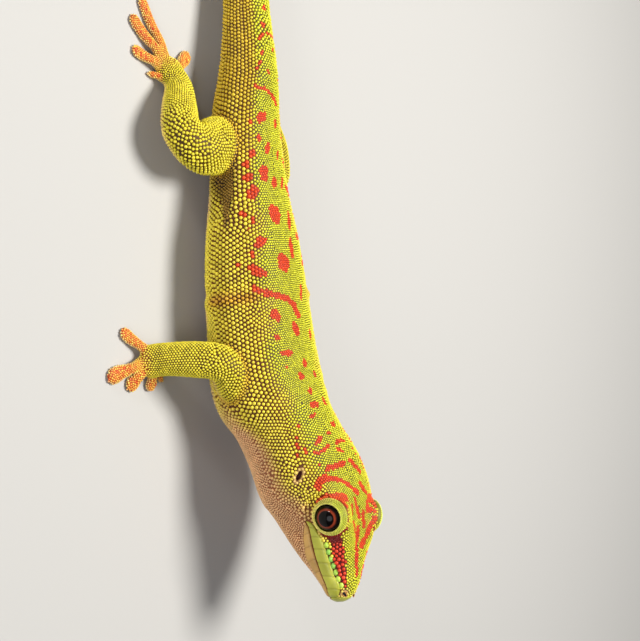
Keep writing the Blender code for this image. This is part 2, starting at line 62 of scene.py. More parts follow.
# Distance from the snout, half width, rise, drop, and how square the section is
BODY = (
    (0.0, 3.4, 3.1, 2.3, 2.1), (2.5, 4.2, 4.1, 2.8, 2.2), (5.5, 5.5, 5.0, 4.3, 2.4),
    (9.0, 7.0, 5.7, 6.2, 2.5), (13.0, 8.4, 6.8, 8.4, 2.6), (17.5, 9.6, 7.8, 10.6, 2.6),
    (22.0, 10.9, 8.4, 12.4, 2.5), (27.0, 12.3, 8.9, 13.3, 2.4), (33.0, 13.0, 9.2, 13.6, 2.3),
    (39.0, 12.7, 9.8, 12.8, 2.2), (46.0, 13.0, 10.0, 12.7, 2.1), (54.0, 15.0, 10.4, 13.8, 2.1),
    (63.0, 15.4, 10.6, 12.4, 2.1), (76.0, 14.8, 10.8, 10.3, 2.1), (90.0, 13.2, 9.9, 9.4, 2.1),
    (102.0, 11.2, 8.2, 8.5, 2.1), (112.0, 9.9, 7.4, 8.2, 2.1), (122.0, 8.8, 7.2, 7.8, 2.1),
    (132.0, 7.7, 7.5, 5.9, 2.0), (145.0, 6.6, 6.4, 4.2, 2.0), (160.0, 6.0, 5.4, 4.2, 2.0),
    (180.0, 5.1, 4.4, 4.6, 2.0), (205.0, 3.9, 3.3, 4.0, 2.0), (230.0, 2.7, 2.3, 3.0, 2.0),
    (252.0, 1.5, 1.4, 1.8, 2.0), (264.0, 0.9, 0.8, 1.0, 2.0),
)
SNOUT_ROUND, TAIL_ROUND = 2.8, 1.4
# Distance from the snout, angle above the side, reach along and round, height; alike on both sides
SWELLINGS = (
    (19.1, 33.0, 5.4, 30.0, 0.7), (16.0, 60.0, 3.4, 16.0, 0.6), (9.0, 24.0, 4.2, 18.0, -0.7),
    (15.0, -42.0, 7.0, 30.0, 1.5), (30.0, -18.0, 8.0, 32.0, 1.5), (26.0, 48.0, 5.0, 22.0, 0.4),
    (103.0, -6.0, 6.5, 24.0, -2.2), (68.0, -22.0, 5.0, 20.0, -1.0),
)
CROWN_DIP = (14.0, 90.0, 5.0, 22.0, -0.6)


class Run:
    """A smooth line through points, read at many distances at once."""

    def __init__(self, points, reach):
        points = np.array(points, float) - ORIGIN
        ends = np.vstack([2 * points[0] - points[1], points, 2 * points[-1] - points[-2]])
        t = np.arange(1, 25)[:, None] / 24
        places = [points[:1]]
        for a, b, c, d in zip(ends, ends[1:], ends[2:], ends[3:]):
            curve = 2 * b + (c - a) * t + (2 * a - 5 * b + 4 * c - d) * t**2
            places.append(0.5 * (curve + (3 * b - a - 3 * c + d) * t**3))
        self.places = np.vstack(places)
        steps = np.linalg.norm(np.diff(self.places, axis=0), axis=1)
        self.run = np.concatenate([[0.0], np.cumsum(steps)])
        self.knots = self.run[::24]
        self.length = self.run[-1]
        self.reach = reach

    def at(self, along):
        along = np.clip(along, 0, self.length)
        return np.stack([np.interp(along, self.run, self.places[:, i]) for i in range(3)], -1)

    def heading(self, along):
        low = np.clip(along - self.reach, 0, self.length - 2 * self.reach)
        return unit(self.at(low + 2 * self.reach) - self.at(low))

    def near(self, points, step=1.0):
        """The distance along the line where each point lies beside it."""
        marks = np.arange(0, self.length, step)
        places = self.at(marks)
        along = np.empty(len(points))
        for first in range(0, len(points), 20000):
            part = points[first:first + 20000]
            gaps = (part**2).sum(1)[:, None] - 2 * part @ places.T + (places**2).sum(1)
            along[first:first + 20000] = marks[np.argmin(gaps, axis=1)]
        for _ in range(4):
            along += ((points - self.at(along)) * self.heading(along)).sum(1)
        return np.clip(along, 0, self.length)


def unit(vectors):
    return vectors / np.maximum(np.linalg.norm(vectors, axis=-1, keepdims=True), 1e-9)


def read(rows, along):
    """The values of a table at distances, eased between its rows."""
    rows = np.array(rows, float)
    along = np.asarray(along, float)
    x, y = rows[:, 0], rows[:, 1:]
    high = np.clip(np.searchsorted(x, along), 1, len(x) - 1)
    low = high - 1
    before, after = np.maximum(low - 1, 0), np.minimum(high + 1, len(x) - 1)
    span = (x[high] - x[low])[..., None]
    t = np.clip((along - x[low])[..., None] / span, 0, 1)
    slope_low = (y[high] - y[before]) / (x[high] - x[before])[..., None] * span
    slope_high = (y[after] - y[low]) / (x[after] - x[low])[..., None] * span
    return (y[low] * (2 * t**3 - 3 * t**2 + 1) + slope_low * (t**3 - 2 * t**2 + t)
            + y[high] * (3 * t**2 - 2 * t**3) + slope_high * (t**3 - t**2))


def full(distance, reach):
    """How full a rounded end is at a distance from its tip."""
    return np.sqrt(1 - (1 - np.clip(distance / reach, 0, 1)) ** 2)


def bump(along, angle, place):
    far, turn, reach, spread, height = place
    off = (angle - turn + 180) % 360 - 180
    return height * np.exp(-(((along - far) / reach) ** 2) - (off / spread) ** 2)


def swell(along, angle):
    total = bump(along, angle, CROWN_DIP)
    for far, turn, reach, spread, height in SWELLINGS:
        total = total + bump(along, angle, (far, turn, reach, spread, height))
        total = total + bump(along, angle, (far, 180 - turn, reach, spread, height))
    return total


spine = Run(SPINE, 1.0)


def body_frame(along):
    ahead = -spine.heading(along)
    left = unit(np.cross((0, 0, 1), ahead))
    return spine.at(along), left, np.cross(ahead, left)


def section(along, angle):
    """Where the body's surface lies in its section: how far to the left and how far up."""
    wide, rise, drop, square = np.moveaxis(read(BODY, along), -1, 0)
    end = full(along, SNOUT_ROUND) * full(spine.length - along, TAIL_ROUND)
    across, up = np.cos(np.radians(angle)), np.sin(np.radians(angle))
    grow = swell(along, angle)
    x = wide * np.sign(across) * np.abs(across) ** (2 / square) * end + across * grow
    z = np.where(up > 0, rise, drop) * np.sign(up) * np.abs(up) ** (2 / square) * end + up * grow
    return x, z, across, up


def on_body(along, angle, lift=0.0, floor=0.0):
    """Points of the body's surface, at distances from the snout and angles."""
    along, angle, lift = np.broadcast_arrays(np.asarray(along, float), angle, lift)
    middle, left, up = body_frame(along)
    x, z, out_x, out_z = section(along, angle)
    place = middle + left * (x + out_x * lift)[..., None] + up * (z + out_z * lift)[..., None]
    place[..., 2] = np.maximum(place[..., 2], floor)
    return place


def body_normal(along, angle):
    fore = on_body(along + 0.4, angle) - on_body(along - 0.4, angle)
    side = on_body(along, angle + 3) - on_body(along, angle - 3)
    normal = unit(np.cross(side, fore))
    outward = on_body(along, angle) - spine.at(along)
    return normal * np.sign((normal * outward).sum(-1, keepdims=True))


def beside_body(points):
    """For points near the body: distance from the snout, angle, and height over its surface."""
    along = spine.near(points)
    middle, left, up = body_frame(along)
    x, z = ((points - middle) * left).sum(1), ((points - middle) * up).sum(1)
    wide, rise, drop, square = np.moveaxis(read(BODY, along), -1, 0)
    tall = np.where(z > 0, rise, drop)
    turn = np.arctan2(np.sign(z) * np.abs(z / tall) ** (square / 2),
                      np.sign(x) * np.abs(x / wide) ** (square / 2))
    angle = np.degrees(turn) % 360
    edge_x, edge_z, _, _ = section(along, angle)
    past = np.maximum(((points - spine.at(along)) * spine.heading(along)).sum(1) * (along > 1), 0)
    return along, angle, np.hypot(x, z) - np.hypot(edge_x, edge_z) + past


# Legs and toes
# Four bent limbs, each with five toes that end in broad sticky pads. They lie on the same lines
# as the solids' legs, from the trunk's side down to the floor.

# Places of each leg's line from inside the trunk to the foot, with its half width and half height
LEGS = {
    "right_fore": (
        (19.0, -4.0, 12.5, 5.0, 5.0), (14.7, -11.5, 14.0, 5.1, 4.9), (10.0, -17.0, 14.2, 4.4, 4.2),
        (9.0, -21.5, 10.4, 4.3, 4.0), (8.9, -25.6, 5.4, 4.0, 3.4), (9.3, -28.2, 2.6, 4.0, 2.6),
        (9.9, -30.8, 1.4, 3.4, 1.8),
    ),
    "left_fore": (
        (19.0, 4.0, 12.5, 5.0, 5.0), (14.5, 11.8, 12.6, 4.8, 4.8), (10.0, 17.2, 11.4, 4.0, 3.9),
        (13.5, 20.2, 8.2, 3.8, 3.6), (18.5, 20.9, 4.4, 3.2, 2.9), (22.0, 20.9, 2.1, 3.4, 2.4),
        (25.0, 20.7, 1.3, 2.9, 1.7),
    ),
    "right_hind": (
        (-41.2, -4.0, 7.6, 6.0, 5.2), (-41.4, -12.6, 9.4, 7.0, 5.6), (-40.0, -20.5, 10.6, 6.0, 5.0),
        (-43.4, -25.2, 9.2, 4.8, 4.5), (-49.0, -23.2, 6.7, 4.3, 4.1), (-54.8, -20.5, 4.0, 3.6, 3.2),
        (-58.5, -21.3, 2.2, 3.7, 2.5), (-61.8, -22.3, 1.4, 3.1, 1.8),
    ),
    "left_hind": (
        (-43.0, 1.0, 7.6, 5.4, 5.2), (-39.6, 7.0, 6.8, 5.2, 5.0), (-36.0, 12.4, 6.0, 4.4, 4.4),
        (-39.0, 16.0, 5.2, 4.0, 4.0), (-45.6, 16.2, 4.4, 3.7, 3.7), (-51.3, 15.2, 3.4, 3.2, 2.8),
        (-55.0, 15.0, 2.0, 3.5, 2.3), (-58.2, 15.4, 1.3, 3.0, 1.7),
    ),
}
# Root and tip on the floor, half width of stem and of pad, from the inner toe out
TOES = {
    "right_fore": ((11.0, -25.2, 14.6, -22.4, 0.8, 0.9), (11.4, -27.0, 16.6, -26.0, 1.3, 2.1),
                   (10.8, -29.2, 15.9, -34.0, 1.3, 2.2), (9.6, -30.2, 13.0, -40.4, 1.4, 2.2),
                   (7.6, -28.2, 2.0, -36.2, 1.3, 1.7)),
    "left_fore": ((21.4, 19.2, 23.6, 15.8, 0.8, 0.8), (22.8, 19.6, 30.0, 16.2, 1.0, 1.5),
                  (23.8, 20.4, 34.0, 20.2, 1.1, 1.9), (23.4, 21.4, 32.0, 26.0, 1.1, 2.0),
                  (21.8, 22.4, 24.6, 31.2, 1.1, 1.5)),
    "right_hind": ((-56.4, -23.0, -57.2, -27.4, 0.9, 0.9), (-58.8, -23.6, -62.0, -32.6, 1.2, 1.6),
                   (-60.0, -22.9, -69.4, -33.0, 1.2, 1.7), (-60.4, -21.8, -74.2, -29.8, 1.1, 1.6),
                   (-58.6, -19.4, -64.4, -12.6, 1.4, 2.0)),
    "left_hind": ((-53.4, 16.4, -53.9, 20.4, 0.9, 0.9), (-55.6, 16.6, -58.6, 23.8, 1.2, 1.6),
                  (-56.8, 16.2, -65.4, 22.8, 1.2, 1.7), (-57.2, 15.2, -70.4, 18.4, 1.1, 1.6),
                  (-55.6, 13.8, -62.4, 7.4, 1.1, 1.7)),
}
LEG_REACH, TOE_REACH, ANKLE_ROUND = 4.0, 2.2, 2.4
PAD_HEIGHT, KNUCKLE = 0.6, 1.1


class Limb:
    """A leg or a toe: a line with an oval section whose half width and height vary along it."""

    def __init__(self, points, sizes, reach, tip_round):
        self.line = Run(points, reach)
        self.sizes = sizes or [(far, *row) for far, row in zip(self.line.knots, self.given)]
        self.tip_round = tip_round

    def frame(self, along):
        ahead = self.line.heading(along)
        across = unit(np.cross((0, 0, 1), ahead))
        return self.line.at(along), across, np.cross(ahead, across)

    def half(self, along):
        return np.moveaxis(read(self.sizes, along), -1, 0)

    def surface(self, along, angle, lift=0.0, floor=0.0):
        along, angle = np.broadcast_arrays(np.asarray(along, float), angle)
        middle, across, above = self.frame(along)
        wide, tall = self.half(along)
        end = full(self.line.length - along, self.tip_round)
        turn = np.radians(angle)
        x = (wide * end + lift) * np.cos(turn)
        z = (tall * end + lift) * np.sin(turn)
        place = middle + across * x[..., None] + above * z[..., None]
        place[..., 2] = np.maximum(place[..., 2], floor)
        return place

    def beside(self, points):
        along = self.line.near(points, 0.5)
        middle, across, above = self.frame(along)
        x, z = ((points - middle) * across).sum(1), ((points - middle) * above).sum(1)
        wide, tall = self.half(along)
        end = np.maximum(full(self.line.length - along, self.tip_round), 0.2)
        angle = np.arctan2(z / tall, x / wide)
        edge = np.hypot(wide * end * np.cos(angle), tall * end * np.sin(angle))
        ahead = self.line.heading(along)
        past = np.abs(((points - middle) * ahead).sum(1))
        return along, np.degrees(angle) % 360, np.hypot(x, z) - edge + past


class Leg(Limb):
    def __init__(self, rows):
        self.given = [row[3:] for row in rows]
        super().__init__([row[:3] for row in rows], None, LEG_REACH, ANKLE_ROUND)


class Toe(Limb):
    def __init__(self, x, y, tip_x, tip_y, stem, pad):
        root, tip = np.array((x, y)), np.array((tip_x, tip_y))
        arch = KNUCKLE * min(np.linalg.norm(tip - root) / 12, 1) * 0.5
        heights = (1.3, 1.3 + arch, 0.8, PAD_HEIGHT)
        flat = [root + (tip - root) * share for share in (0.0, 0.3, 0.62, 1.0)]
        points = [(*spot, height) for spot, height in zip(flat, heights)]
        length = Run(points, TOE_REACH).length
        shares = ((0, stem * 1.1, 1.3), (0.35, stem, 1.1), (0.68, pad * 0.98, 0.95), (1, pad, 0.85))
        sizes = [(share * length, wide, tall) for share, wide, tall in shares]
        super().__init__(points, sizes, TOE_REACH, pad * 1.15)


legs = {name: Leg(rows) for name, rows in LEGS.items()}
toes = {name: [Toe(*row) for row in rows] for name, rows in TOES.items()}

# Colours and markings
# A day gecko is yellow-green with orange-red blotches on the back, bars on the snout and behind
# the eyes, orange toes, a pale throat and belly, and dark skin between the larger scales.


def paint(red, green, blue):
    """A colour as seen, from 0 to 255, made linear."""
    seen = np.array((red, green, blue)) / 255
    return np.where(seen <= 0.04045, seen / 12.92, ((seen + 0.055) / 1.055) ** 2.4)


BACK_GREEN, BACK_SKIN = paint(226, 224, 50), paint(64, 54, 2)
SIDE_YELLOW, SIDE_SKIN = paint(236, 216, 66), paint(88, 44, 2)
BELLY_CREAM, BELLY_SKIN = paint(232, 192, 138), paint(158, 104, 66)
THROAT_TAN, THROAT_SKIN = paint(230, 182, 130), paint(146, 90, 56)
TAIL_GOLD, TAIL_SKIN = paint(206, 168, 36), paint(84, 50, 10)
LEG_GREEN, LEG_SKIN = paint(230, 214, 54), paint(78, 50, 2)
TOE_ORANGE, TOE_YELLOW, TOE_SKIN = paint(236, 138, 62), paint(250, 214, 92), paint(178, 66, 20)
TOE_RIM = paint(236, 226, 150)
MARK_RED, MARK_SKIN = paint(240, 84, 34), paint(150, 34, 10)
LORE_RED, LORE_DARK = paint(226, 66, 36), paint(116, 16, 12)
EYE_ORANGE, PINK_SKIN, NOSTRIL_TAN = paint(240, 96, 40), paint(150, 70, 48), paint(214, 170, 100)
GRANULE_GREEN, GRANULE_LIME = paint(158, 218, 90), paint(202, 232, 86)
FOLD_ORANGE = paint(220, 150, 40)
# The groin's brown is partly its own tone and partly painted shade of the hollow. Its darkest skin tone
# also paints shade in the leg creases.
GROIN_BROWN_AND_SHADE, GROIN_SHADE_SKIN = paint(150, 108, 44), paint(44, 26, 8)
CREASE_ORANGE = paint(214, 160, 46)
# The second tone is painted shade inside the ear holes, and darker still inside the nostrils.
EAR_PINK, HOLE_SHADE = paint(224, 180, 124), paint(84, 34, 28)

# Spots and bars on the back: distance from the snout, degrees from the back line towards the
# right, half length along the body, half width across it, and how far it is turned.
SPOTS = (
    (147, 0, 0.8, 0.7, 0), (142.5, 11, 0.8, 0.7, 20), (135, 21, 0.7, 0.6, 0), (137, -14, 0.7, 0.6, 0),
    (132.5, 27, 0.7, 0.6, 0), (130.5, 7, 0.6, 0.6, 0), (131, 30, 0.5, 0.5, 0),
    (119, 19, 1.9, 1.0, -35), (117.5, 39, 0.8, 0.7, 20), (118.5, -13, 1.3, 0.6, -20),
    (114, 24, 1.1, 0.7, 0), (112, 9, 1.5, 0.7, -20), (110.5, 36, 0.9, 1.0, 0), (111, -15, 1.5, 0.5, -15),
    (108, 49, 0.9, 0.9, 0), (106, 19, 1.9, 1.2, 0), (105, 46, 0.8, 1.4, 20), (104, 1, 1.4, 0.7, -20),
    (104, -17, 1.8, 0.6, -25), (101.5, 39, 1.4, 2.2, 30), (96.5, 9, 2.3, 1.8, 0), (96.5, 55, 0.8, 1.0, 0),
    (95, 42, 0.9, 0.5, 0), (95, -17, 2.3, 0.7, -15), (93, 49, 0.5, 0.5, 0), (90, 34, 1.2, 1.5, 30),
    (88.5, -10, 2.4, 0.8, 0), (87.5, 46, 0.8, 0.8, 0), (85, 6, 2.2, 1.9, 0), (85, 63, 0.7, 0.7, 0),
    (83.5, 40, 1.0, 2.8, -20), (77, -17, 2.0, 0.7, -15), (72.5, 25, 1.6, 1.2, 35), (68, 1, 1.8, 1.0, 15),
    (67, 25, 0.8, 0.7, 0), (66, -26, 1.6, 0.6, 0), (62.5, 16, 0.8, 1.9, -10), (58.5, -4, 1.5, 0.7, 0),
    (59, 20, 0.5, 0.5, 0), (55, 5, 1.2, 0.8, 20), (54, -18, 1.3, 0.6, 0), (50, 0, 0.8, 0.8, 0),
    (46.5, 3, 0.9, 1.4, 0), (46.5, -19, 1.1, 0.7, 0), (44, 9, 0.5, 1.3, 0), (43, 35, 0.6, 0.6, 0),
    (40.8, 43, 0.4, 0.4, 0), (39.8, -16, 0.7, 1.0, 0), (39, 46, 0.7, 0.6, 0),
    (38.5, -1, 0.5, 0.7, 0), (37.4, 39, 0.7, 0.6, 20), (37.2, 51, 0.5, 0.4, 0), (33.8, -42, 1.2, 0.4, 0),
    (33.4, 28, 0.4, 0.3, 0), (31.9, -30, 0.6, 0.3, 0), (30.4, -31, 0.5, 0.4, 0), (28.1, -37, 0.7, 0.4, 0),
    (24.5, -32, 0.6, 0.3, 0), (20.2, -30, 0.5, 0.3, 0), (19.8, -20, 0.5, 0.5, 0), (19.3, -24, 0.3, 0.3, 0),
)
# Bars drawn through places, each a distance and degrees towards the right, then their half width
BARS = (
    (((138.5, 26), (140.3, 6), (140.4, -27)), 0.35),
    (((126.2, 33), (126.2, 15), (125, -5), (123.5, -20)), 0.5),
    (((79.6, 46), (78, 32), (77, 19), (76, 7), (74, -1), (71.3, -5)), 0.75),
    (((37.7, 22), (38.4, 13)), 0.62),
    (((36.1, 27), (35.4, 16), (35.8, 5)), 0.4),
    (((35.2, -6), (35.3, -14), (34.2, -22)), 0.5),
    (((33.8, -3), (32.6, -8)), 0.4),
    (((30.3, 0), (30.9, 12), (31.3, 19)), 0.7),
    (((31.2, 19), (30.8, 25)), 0.32),
    (((30, -12), (28.6, -15), (27.4, -19)), 0.65),
    (((28.1, 49), (29.2, 41), (29.5, 33)), 1.15),
    (((29.6, 33), (28.4, 24), (26.8, 15)), 0.7),
    (((26.8, 15), (25.5, 7), (24, 1), (23.2, -2)), 0.5),
    (((27.9, -52), (29.3, -44)), 0.7),
    (((25.2, -10), (23.9, -15), (23, -20)), 0.55),
    (((22.2, 4), (20.6, 4), (18.3, 2)), 0.38),
    (((21, 12), (19, 14)), 0.3),
    (((21.2, -17), (19.6, -15)), 0.55),
    (((19.4, -6), (18.2, -5), (16.8, -7)), 0.5),
    (((17.9, -25), (16.4, -20), (14.6, -14), (13.6, -11), (12.4, -9)), 0.75),
    (((17.3, 14), (15.4, 9), (14.4, 5)), 0.33),
    (((16.4, 3), (14.8, 3), (12.4, 4), (11.4, 1)), 0.45),
    (((11.4, 1), (8.9, 0), (6, -3)), 0.4),
)
# The red stripe from nostril to eye on both sides: distance, degrees from the back, half width
LORE = (
    (3.2, 41, 0.4), (4.3, 41.5, 0.95), (7.2, 44.5, 1.55), (9.8, 49.5, 1.95), (12.4, 53.5, 2.0),
    (14, 58, 2.2), (15.4, 60, 2.3),
)


def right_of_back(angle):
    """Degrees from the back line, positive towards the right side, down to 180 at the belly."""
    return (np.asarray(angle) - 90 + 180) % 360 - 180


def ease(low, high, value):
    t = np.clip((value - low) / (high - low), 0, 1)
    return t * t * (3 - 2 * t)


def blend(a, b, share):
    return a + (b - a) * np.asarray(share)[..., None]


def girth(along):
    """The mean of the section's half width and height."""
    wide, rise, _, _ = np.moveaxis(read(BODY, along), -1, 0)
    return 0.5 * (wide + rise) * full(along, SNOUT_ROUND)


def off_spot(along, off, spot, wobble):
    """How far into a spot a place lies, above 0 inside."""
    far, turn, long, wide, slant = spot
    x = along - far
    y = np.radians(off - turn) * girth(np.full_like(along, far))
    c, s = math.cos(math.radians(slant)), math.sin(math.radians(slant))
    return 1 + 0.14 * wobble - np.hypot((x * c + y * s) / long, (y * c - x * s) / wide)


def off_bar(along, off, bar, wobble):
    """How far into a bar a place lies, above 0 inside, in its half widths."""
    places, half = bar
    best = np.full(len(along), 99.0)
    for (far_a, off_a), (far_b, off_b) in zip(places, places[1:]):
        size = girth(np.full(1, (far_a + far_b) / 2))[0]
        ax, ay = far_a, math.radians(off_a) * size
        bx, by = far_b, math.radians(off_b) * size
        x, y = along, np.radians(off) * size
        t = np.clip(((x - ax) * (bx - ax) + (y - ay) * (by - ay)) / ((bx - ax) ** 2 + (by - ay) ** 2), 0, 1)
        best = np.minimum(best, np.hypot(x - ax - t * (bx - ax), y - ay - t * (by - ay)))
    return 1 + 0.15 * wobble - best / half


def wobble_at(points, size, seed):
    """A smooth uneven value from about -1 to 1, from a few crossed waves."""
    rng = np.random.default_rng(seed)
    total = np.zeros(len(points))
    for _ in range(6):
        way = unit(rng.normal(size=3)) * 2 * math.pi / (size * rng.uniform(0.7, 1.5))
        total += np.sin(points @ way + rng.uniform(0, 2 * math.pi))
    return total / 2.4


def is_marked(along, off, points):
    """Which places lie in a red mark. Those of the hidden left flank mirror the right one's."""
    wobble = wobble_at(points, 3.0, 3)
    inside = np.full(len(along), -1.0)
    for spot in SPOTS:
        inside = np.maximum(inside, off_spot(along, off, spot, wobble))
        if spot[1] > 28:
            mirrored = (spot[0] + 1.4 * math.sin(spot[0]), -spot[1] - 3, spot[2], spot[3], -spot[4])
            inside = np.maximum(inside, off_spot(along, off, mirrored, wobble))
    for bar in BARS:
        inside = np.maximum(inside, off_bar(along, off, bar, wobble))
    return inside > 0


def in_lore(along, off, points):
    """How far into the red stripe before the eye a place lies, above 0 inside."""
    middle, half = np.moveaxis(read(LORE, along), -1, 0)
    away = np.abs(np.radians(np.abs(off) - middle)) * girth(along) * 1.1
    inside = 1 - away / half + 0.12 * wobble_at(points, 2.0, 5)
    return np.where((along > LORE[0][0]) & (along < LORE[-1][0]), inside, -1.0)


# The skin
# One closed hide, from the snout to the tail tip and out to the toes, lies inside the solids by the
# height of the scales, just over a quarter of a millimetre. It is a soft cast with folds, ears,
# nostrils and eye windows, carries the markings, darker, and shows between the scales.

COAT_DEPTH = 0.28
VOXEL = 0.48
SOLE = 0.22
EYE = (18.8, 27.0)
EYE_UP, EYE_FORWARD = 9.0, 12.0
EYE_RADIUS, EYE_SUNK, DOME_RADIUS = 4.0, 2.8, 4.75
WINDOW_RADIUS, SOCKET_DEEP = 3.6, 3.5
LID_LEAST, LID_SPREAD = 3.98, 0.52
# Distance from the snout and degrees above the side
NOSTRIL = (1.7, 54.0)
EAR, EAR_TOP, EAR_BOTTOM = (33.6, 31.0), (34.2, 38.0), (32.6, 23.0)
EAR_LONG, EAR_WIDE, EAR_DEEP = 1.35, 0.6, 1.3
# Distance from the snout and degrees below the side
MOUTH = (
    (0.3, 62.0), (1.0, 28.0), (3.0, 12.0), (6.0, 10.0), (9.6, 7.5), (14.0, 4.5), (17.7, 2.3), (20.6, 3.0),
)
GROOVE_DEEP, GROOVE_WIDE = 0.38, 0.3
# Loose folds of the flanks: distance from the snout, from and to which degrees off the back, height
# and half length
FOLDS = (
    (77.4, 45, 120, 0.55, 1.0), (79.9, 52, 130, -0.35, 0.8), (52, 50, 115, -0.3, 1.2),
    (49.5, 55, 120, 0.2, 1.0), (99, 70, 110, -0.25, 0.6), (97.4, 72, 108, -0.2, 0.5),
)
TAIL_START, TAIL_RING = 122, 6.2
SIDES = ("right", "left")


def side_angle(side, above):
    return 180 - above if side == "right" else above


def on_side(side, spot, lift=0.0):
    return on_body(spot[0], side_angle(side, spot[1]), lift)


def out_of(side, spot):
    return body_normal(np.array([spot[0]]), np.array([side_angle(side, spot[1])]))[0]


def eye_axis(side):
    _, left, up = body_frame(np.array([EYE[0]]))
    level = (-left if side == "right" else left)[0]
    rise, ahead = math.radians(EYE_UP), math.radians(EYE_FORWARD)
    outward = level * math.cos(rise) + up[0] * math.sin(rise)
    return unit(outward * math.cos(ahead) - spine.heading(np.array([EYE[0]]))[0] * math.sin(ahead))


def eye_place(side):
    return on_side(side, EYE) - eye_axis(side) * EYE_SUNK


def eye_frame(side):
    """The eye's axis, and the ways to its front and its top."""
    axis = eye_axis(side)
    top = unit(np.cross(np.cross(axis, (0, 0, 1)), axis))
    return axis, unit(np.cross(axis, top)) * (-1 if side == "right" else 1), top


def ear_frame(side):
    """The ways along and across the ear's slanted oval."""
    slant = unit(on_side(side, EAR_TOP) - on_side(side, EAR_BOTTOM))
    return slant, np.cross(out_of(side, EAR), slant)


def mouth_drop(far):
    """Degrees that the closed lips lie below the side, at a distance from the snout."""
    return read(MOUTH, far)[..., 0]


def mesh_of(name, points, faces):
    """An object at the origin with its mesh in place, from points in millimetres."""
    mesh = bpy.data.meshes.new(name)
    mesh.from_pydata([tuple(p) for p in np.asarray(points) * MM], [], faces)
    mesh.update()
    obj = bpy.data.objects.new(name, mesh)
    bpy.context.scene.collection.objects.link(obj)
    return obj


def lofted(rings):
    """Points and faces of a closed tube over rings, with a fan at each end."""
    count, around = rings.shape[:2]
    points = list(rings.reshape(-1, 3)) + [rings[0].mean(0), rings[-1].mean(0)]
    faces = []
    for row in range(count - 1):
        for i in range(around):
            j = (i + 1) % around
            a, b = row * around, (row + 1) * around
            faces.append((a + i, a + j, b + j, b + i))
    last = (count - 1) * around
    for i in range(around):
        j = (i + 1) % around
        faces.append((j, i, count * around))
        faces.append((last + i, last + j, count * around + 1))
    return points, faces


def joined(shapes):
    points, faces = [], []
    for more_points, more_faces in shapes:
        start = len(points)
        points += list(more_points)
        faces += [tuple(start + i for i in face) for face in more_faces]
    return points, faces


def applied(obj, name):
    """A new plain object from what an object's modifiers make, which is then removed."""
    graph = bpy.context.evaluated_depsgraph_get()
    mesh = bpy.data.meshes.new_from_object(obj.evaluated_get(graph))
    mesh.name = name
    bpy.data.objects.remove(obj, do_unlink=True)
    made = bpy.data.objects.new(name, mesh)
    bpy.context.scene.collection.objects.link(made)
    return made


def ball_points(centre, radius, rings=18, around=28):
    tilt = np.linspace(0.06, math.pi - 0.06, rings)
    turn = np.linspace(0, 2 * math.pi, around, endpoint=False)
    shape = np.stack([np.outer(np.sin(tilt), np.cos(turn)), np.outer(np.sin(tilt), np.sin(turn)),
                      np.outer(np.cos(tilt), np.ones(around))], -1)
    return centre + radius * shape


def hide_shapes():
    """The lofts that the hide is cast from."""
    far = np.concatenate([[0.12, 0.4, 0.8, 1.3], np.arange(2, spine.length - 1.5, 1.1),
                          [spine.length - 0.8, spine.length - 0.25]])
    turn = np.arange(0, 360, 4.5)
    shapes = [lofted(on_body(far[:, None], turn[None, :], -COAT_DEPTH, SOLE))]
    for side in SIDES:
        dome = eye_place(side) - eye_axis(side) * 0.2
        shapes.append(lofted(ball_points(dome, DOME_RADIUS - COAT_DEPTH)))
    for name, leg in legs.items():
        far = np.linspace(0.01, 0.995, 44) * leg.line.length
        turn = np.arange(0, 360, 10.0)
        shapes.append(lofted(leg.surface(far[:, None], turn[None, :], -COAT_DEPTH, SOLE)))
        for toe in toes[name]:
            far = (1 - (1 - np.linspace(0, 1, 26)) ** 1.35) * 0.985 * toe.line.length
            turn = np.arange(0, 360, 18.0)
            shapes.append(lofted(toe.surface(far[:, None], turn[None, :], -COAT_DEPTH * 0.6, SOLE)))
    return shapes


cast = mesh_of("cast", *joined(hide_shapes()))
remesh = cast.modifiers.new("cast", "REMESH")
remesh.mode = "VOXEL"
remesh.voxel_size = VOXEL * MM
smooth = cast.modifiers.new("smooth", "SMOOTH")
smooth.factor = 0.5
smooth.iterations = 4
skin = applied(cast, "skin")

lips = np.arange(0.3, 19.8, 0.15)
mouth_points = {side: on_body(lips, side_angle(side, -mouth_drop(lips)), -COAT_DEPTH) for side in SIDES}
mouth_tree = KDTree(2 * len(lips))
for place, spot in enumerate(np.vstack(list(mouth_points.values()))):
    mouth_tree.insert(spot, place)
mouth_tree.balance()


def refine(obj, places, reach):
    """Split the edges near given places, so that fine folds have room."""
    bm = bmesh.new()
    bm.from_mesh(obj.data)
    tree = KDTree(len(places))
    for i, spot in enumerate(places):
        tree.insert(Vector(spot) * MM, i)
    tree.balance()
    near = {vert for vert in bm.verts if tree.find(vert.co)[2] < reach * MM}
    edges = [edge for edge in bm.edges if edge.verts[0] in near and edge.verts[1] in near]
    bmesh.ops.subdivide_edges(bm, edges=edges, cuts=1, use_grid_fill=True)
    bmesh.ops.triangulate(bm, faces=[face for face in bm.faces if len(face.verts) > 4])
    bm.to_mesh(obj.data)
    bm.free()


fine_places = list(np.vstack([mouth_points[side][::4] for side in SIDES]))
fine_places += [on_side(side, spot) for side in SIDES for spot in (NOSTRIL, EAR, EAR_TOP, EAR_BOTTOM)]
refine(skin, fine_places, 1.3)
refine(skin, [on_side(side, NOSTRIL) for side in SIDES], 0.9)


def places_of(mesh):
    """A mesh's points in millimetres."""
    points = np.empty(len(mesh.vertices) * 3, np.float32)
    mesh.vertices.foreach_get("co", points)
    return points.reshape(-1, 3).astype(float) / MM


def normals_of(mesh):
    normals = np.empty(len(mesh.vertices) * 3, np.float32)
    mesh.vertex_normals.foreach_get("vector", normals)
    return normals.reshape(-1, 3).astype(float)


def ring_off_eye(points, side):
    """Points' distance from the eye's axis, angle round it from its front over its top, and height."""
    axis, front, top = eye_frame(side)
    away = points - eye_place(side)
    flat = away - (away @ axis)[:, None] * axis
    return np.linalg.norm(flat, axis=1), np.degrees(np.arctan2(flat @ top, flat @ front)), away @ axis


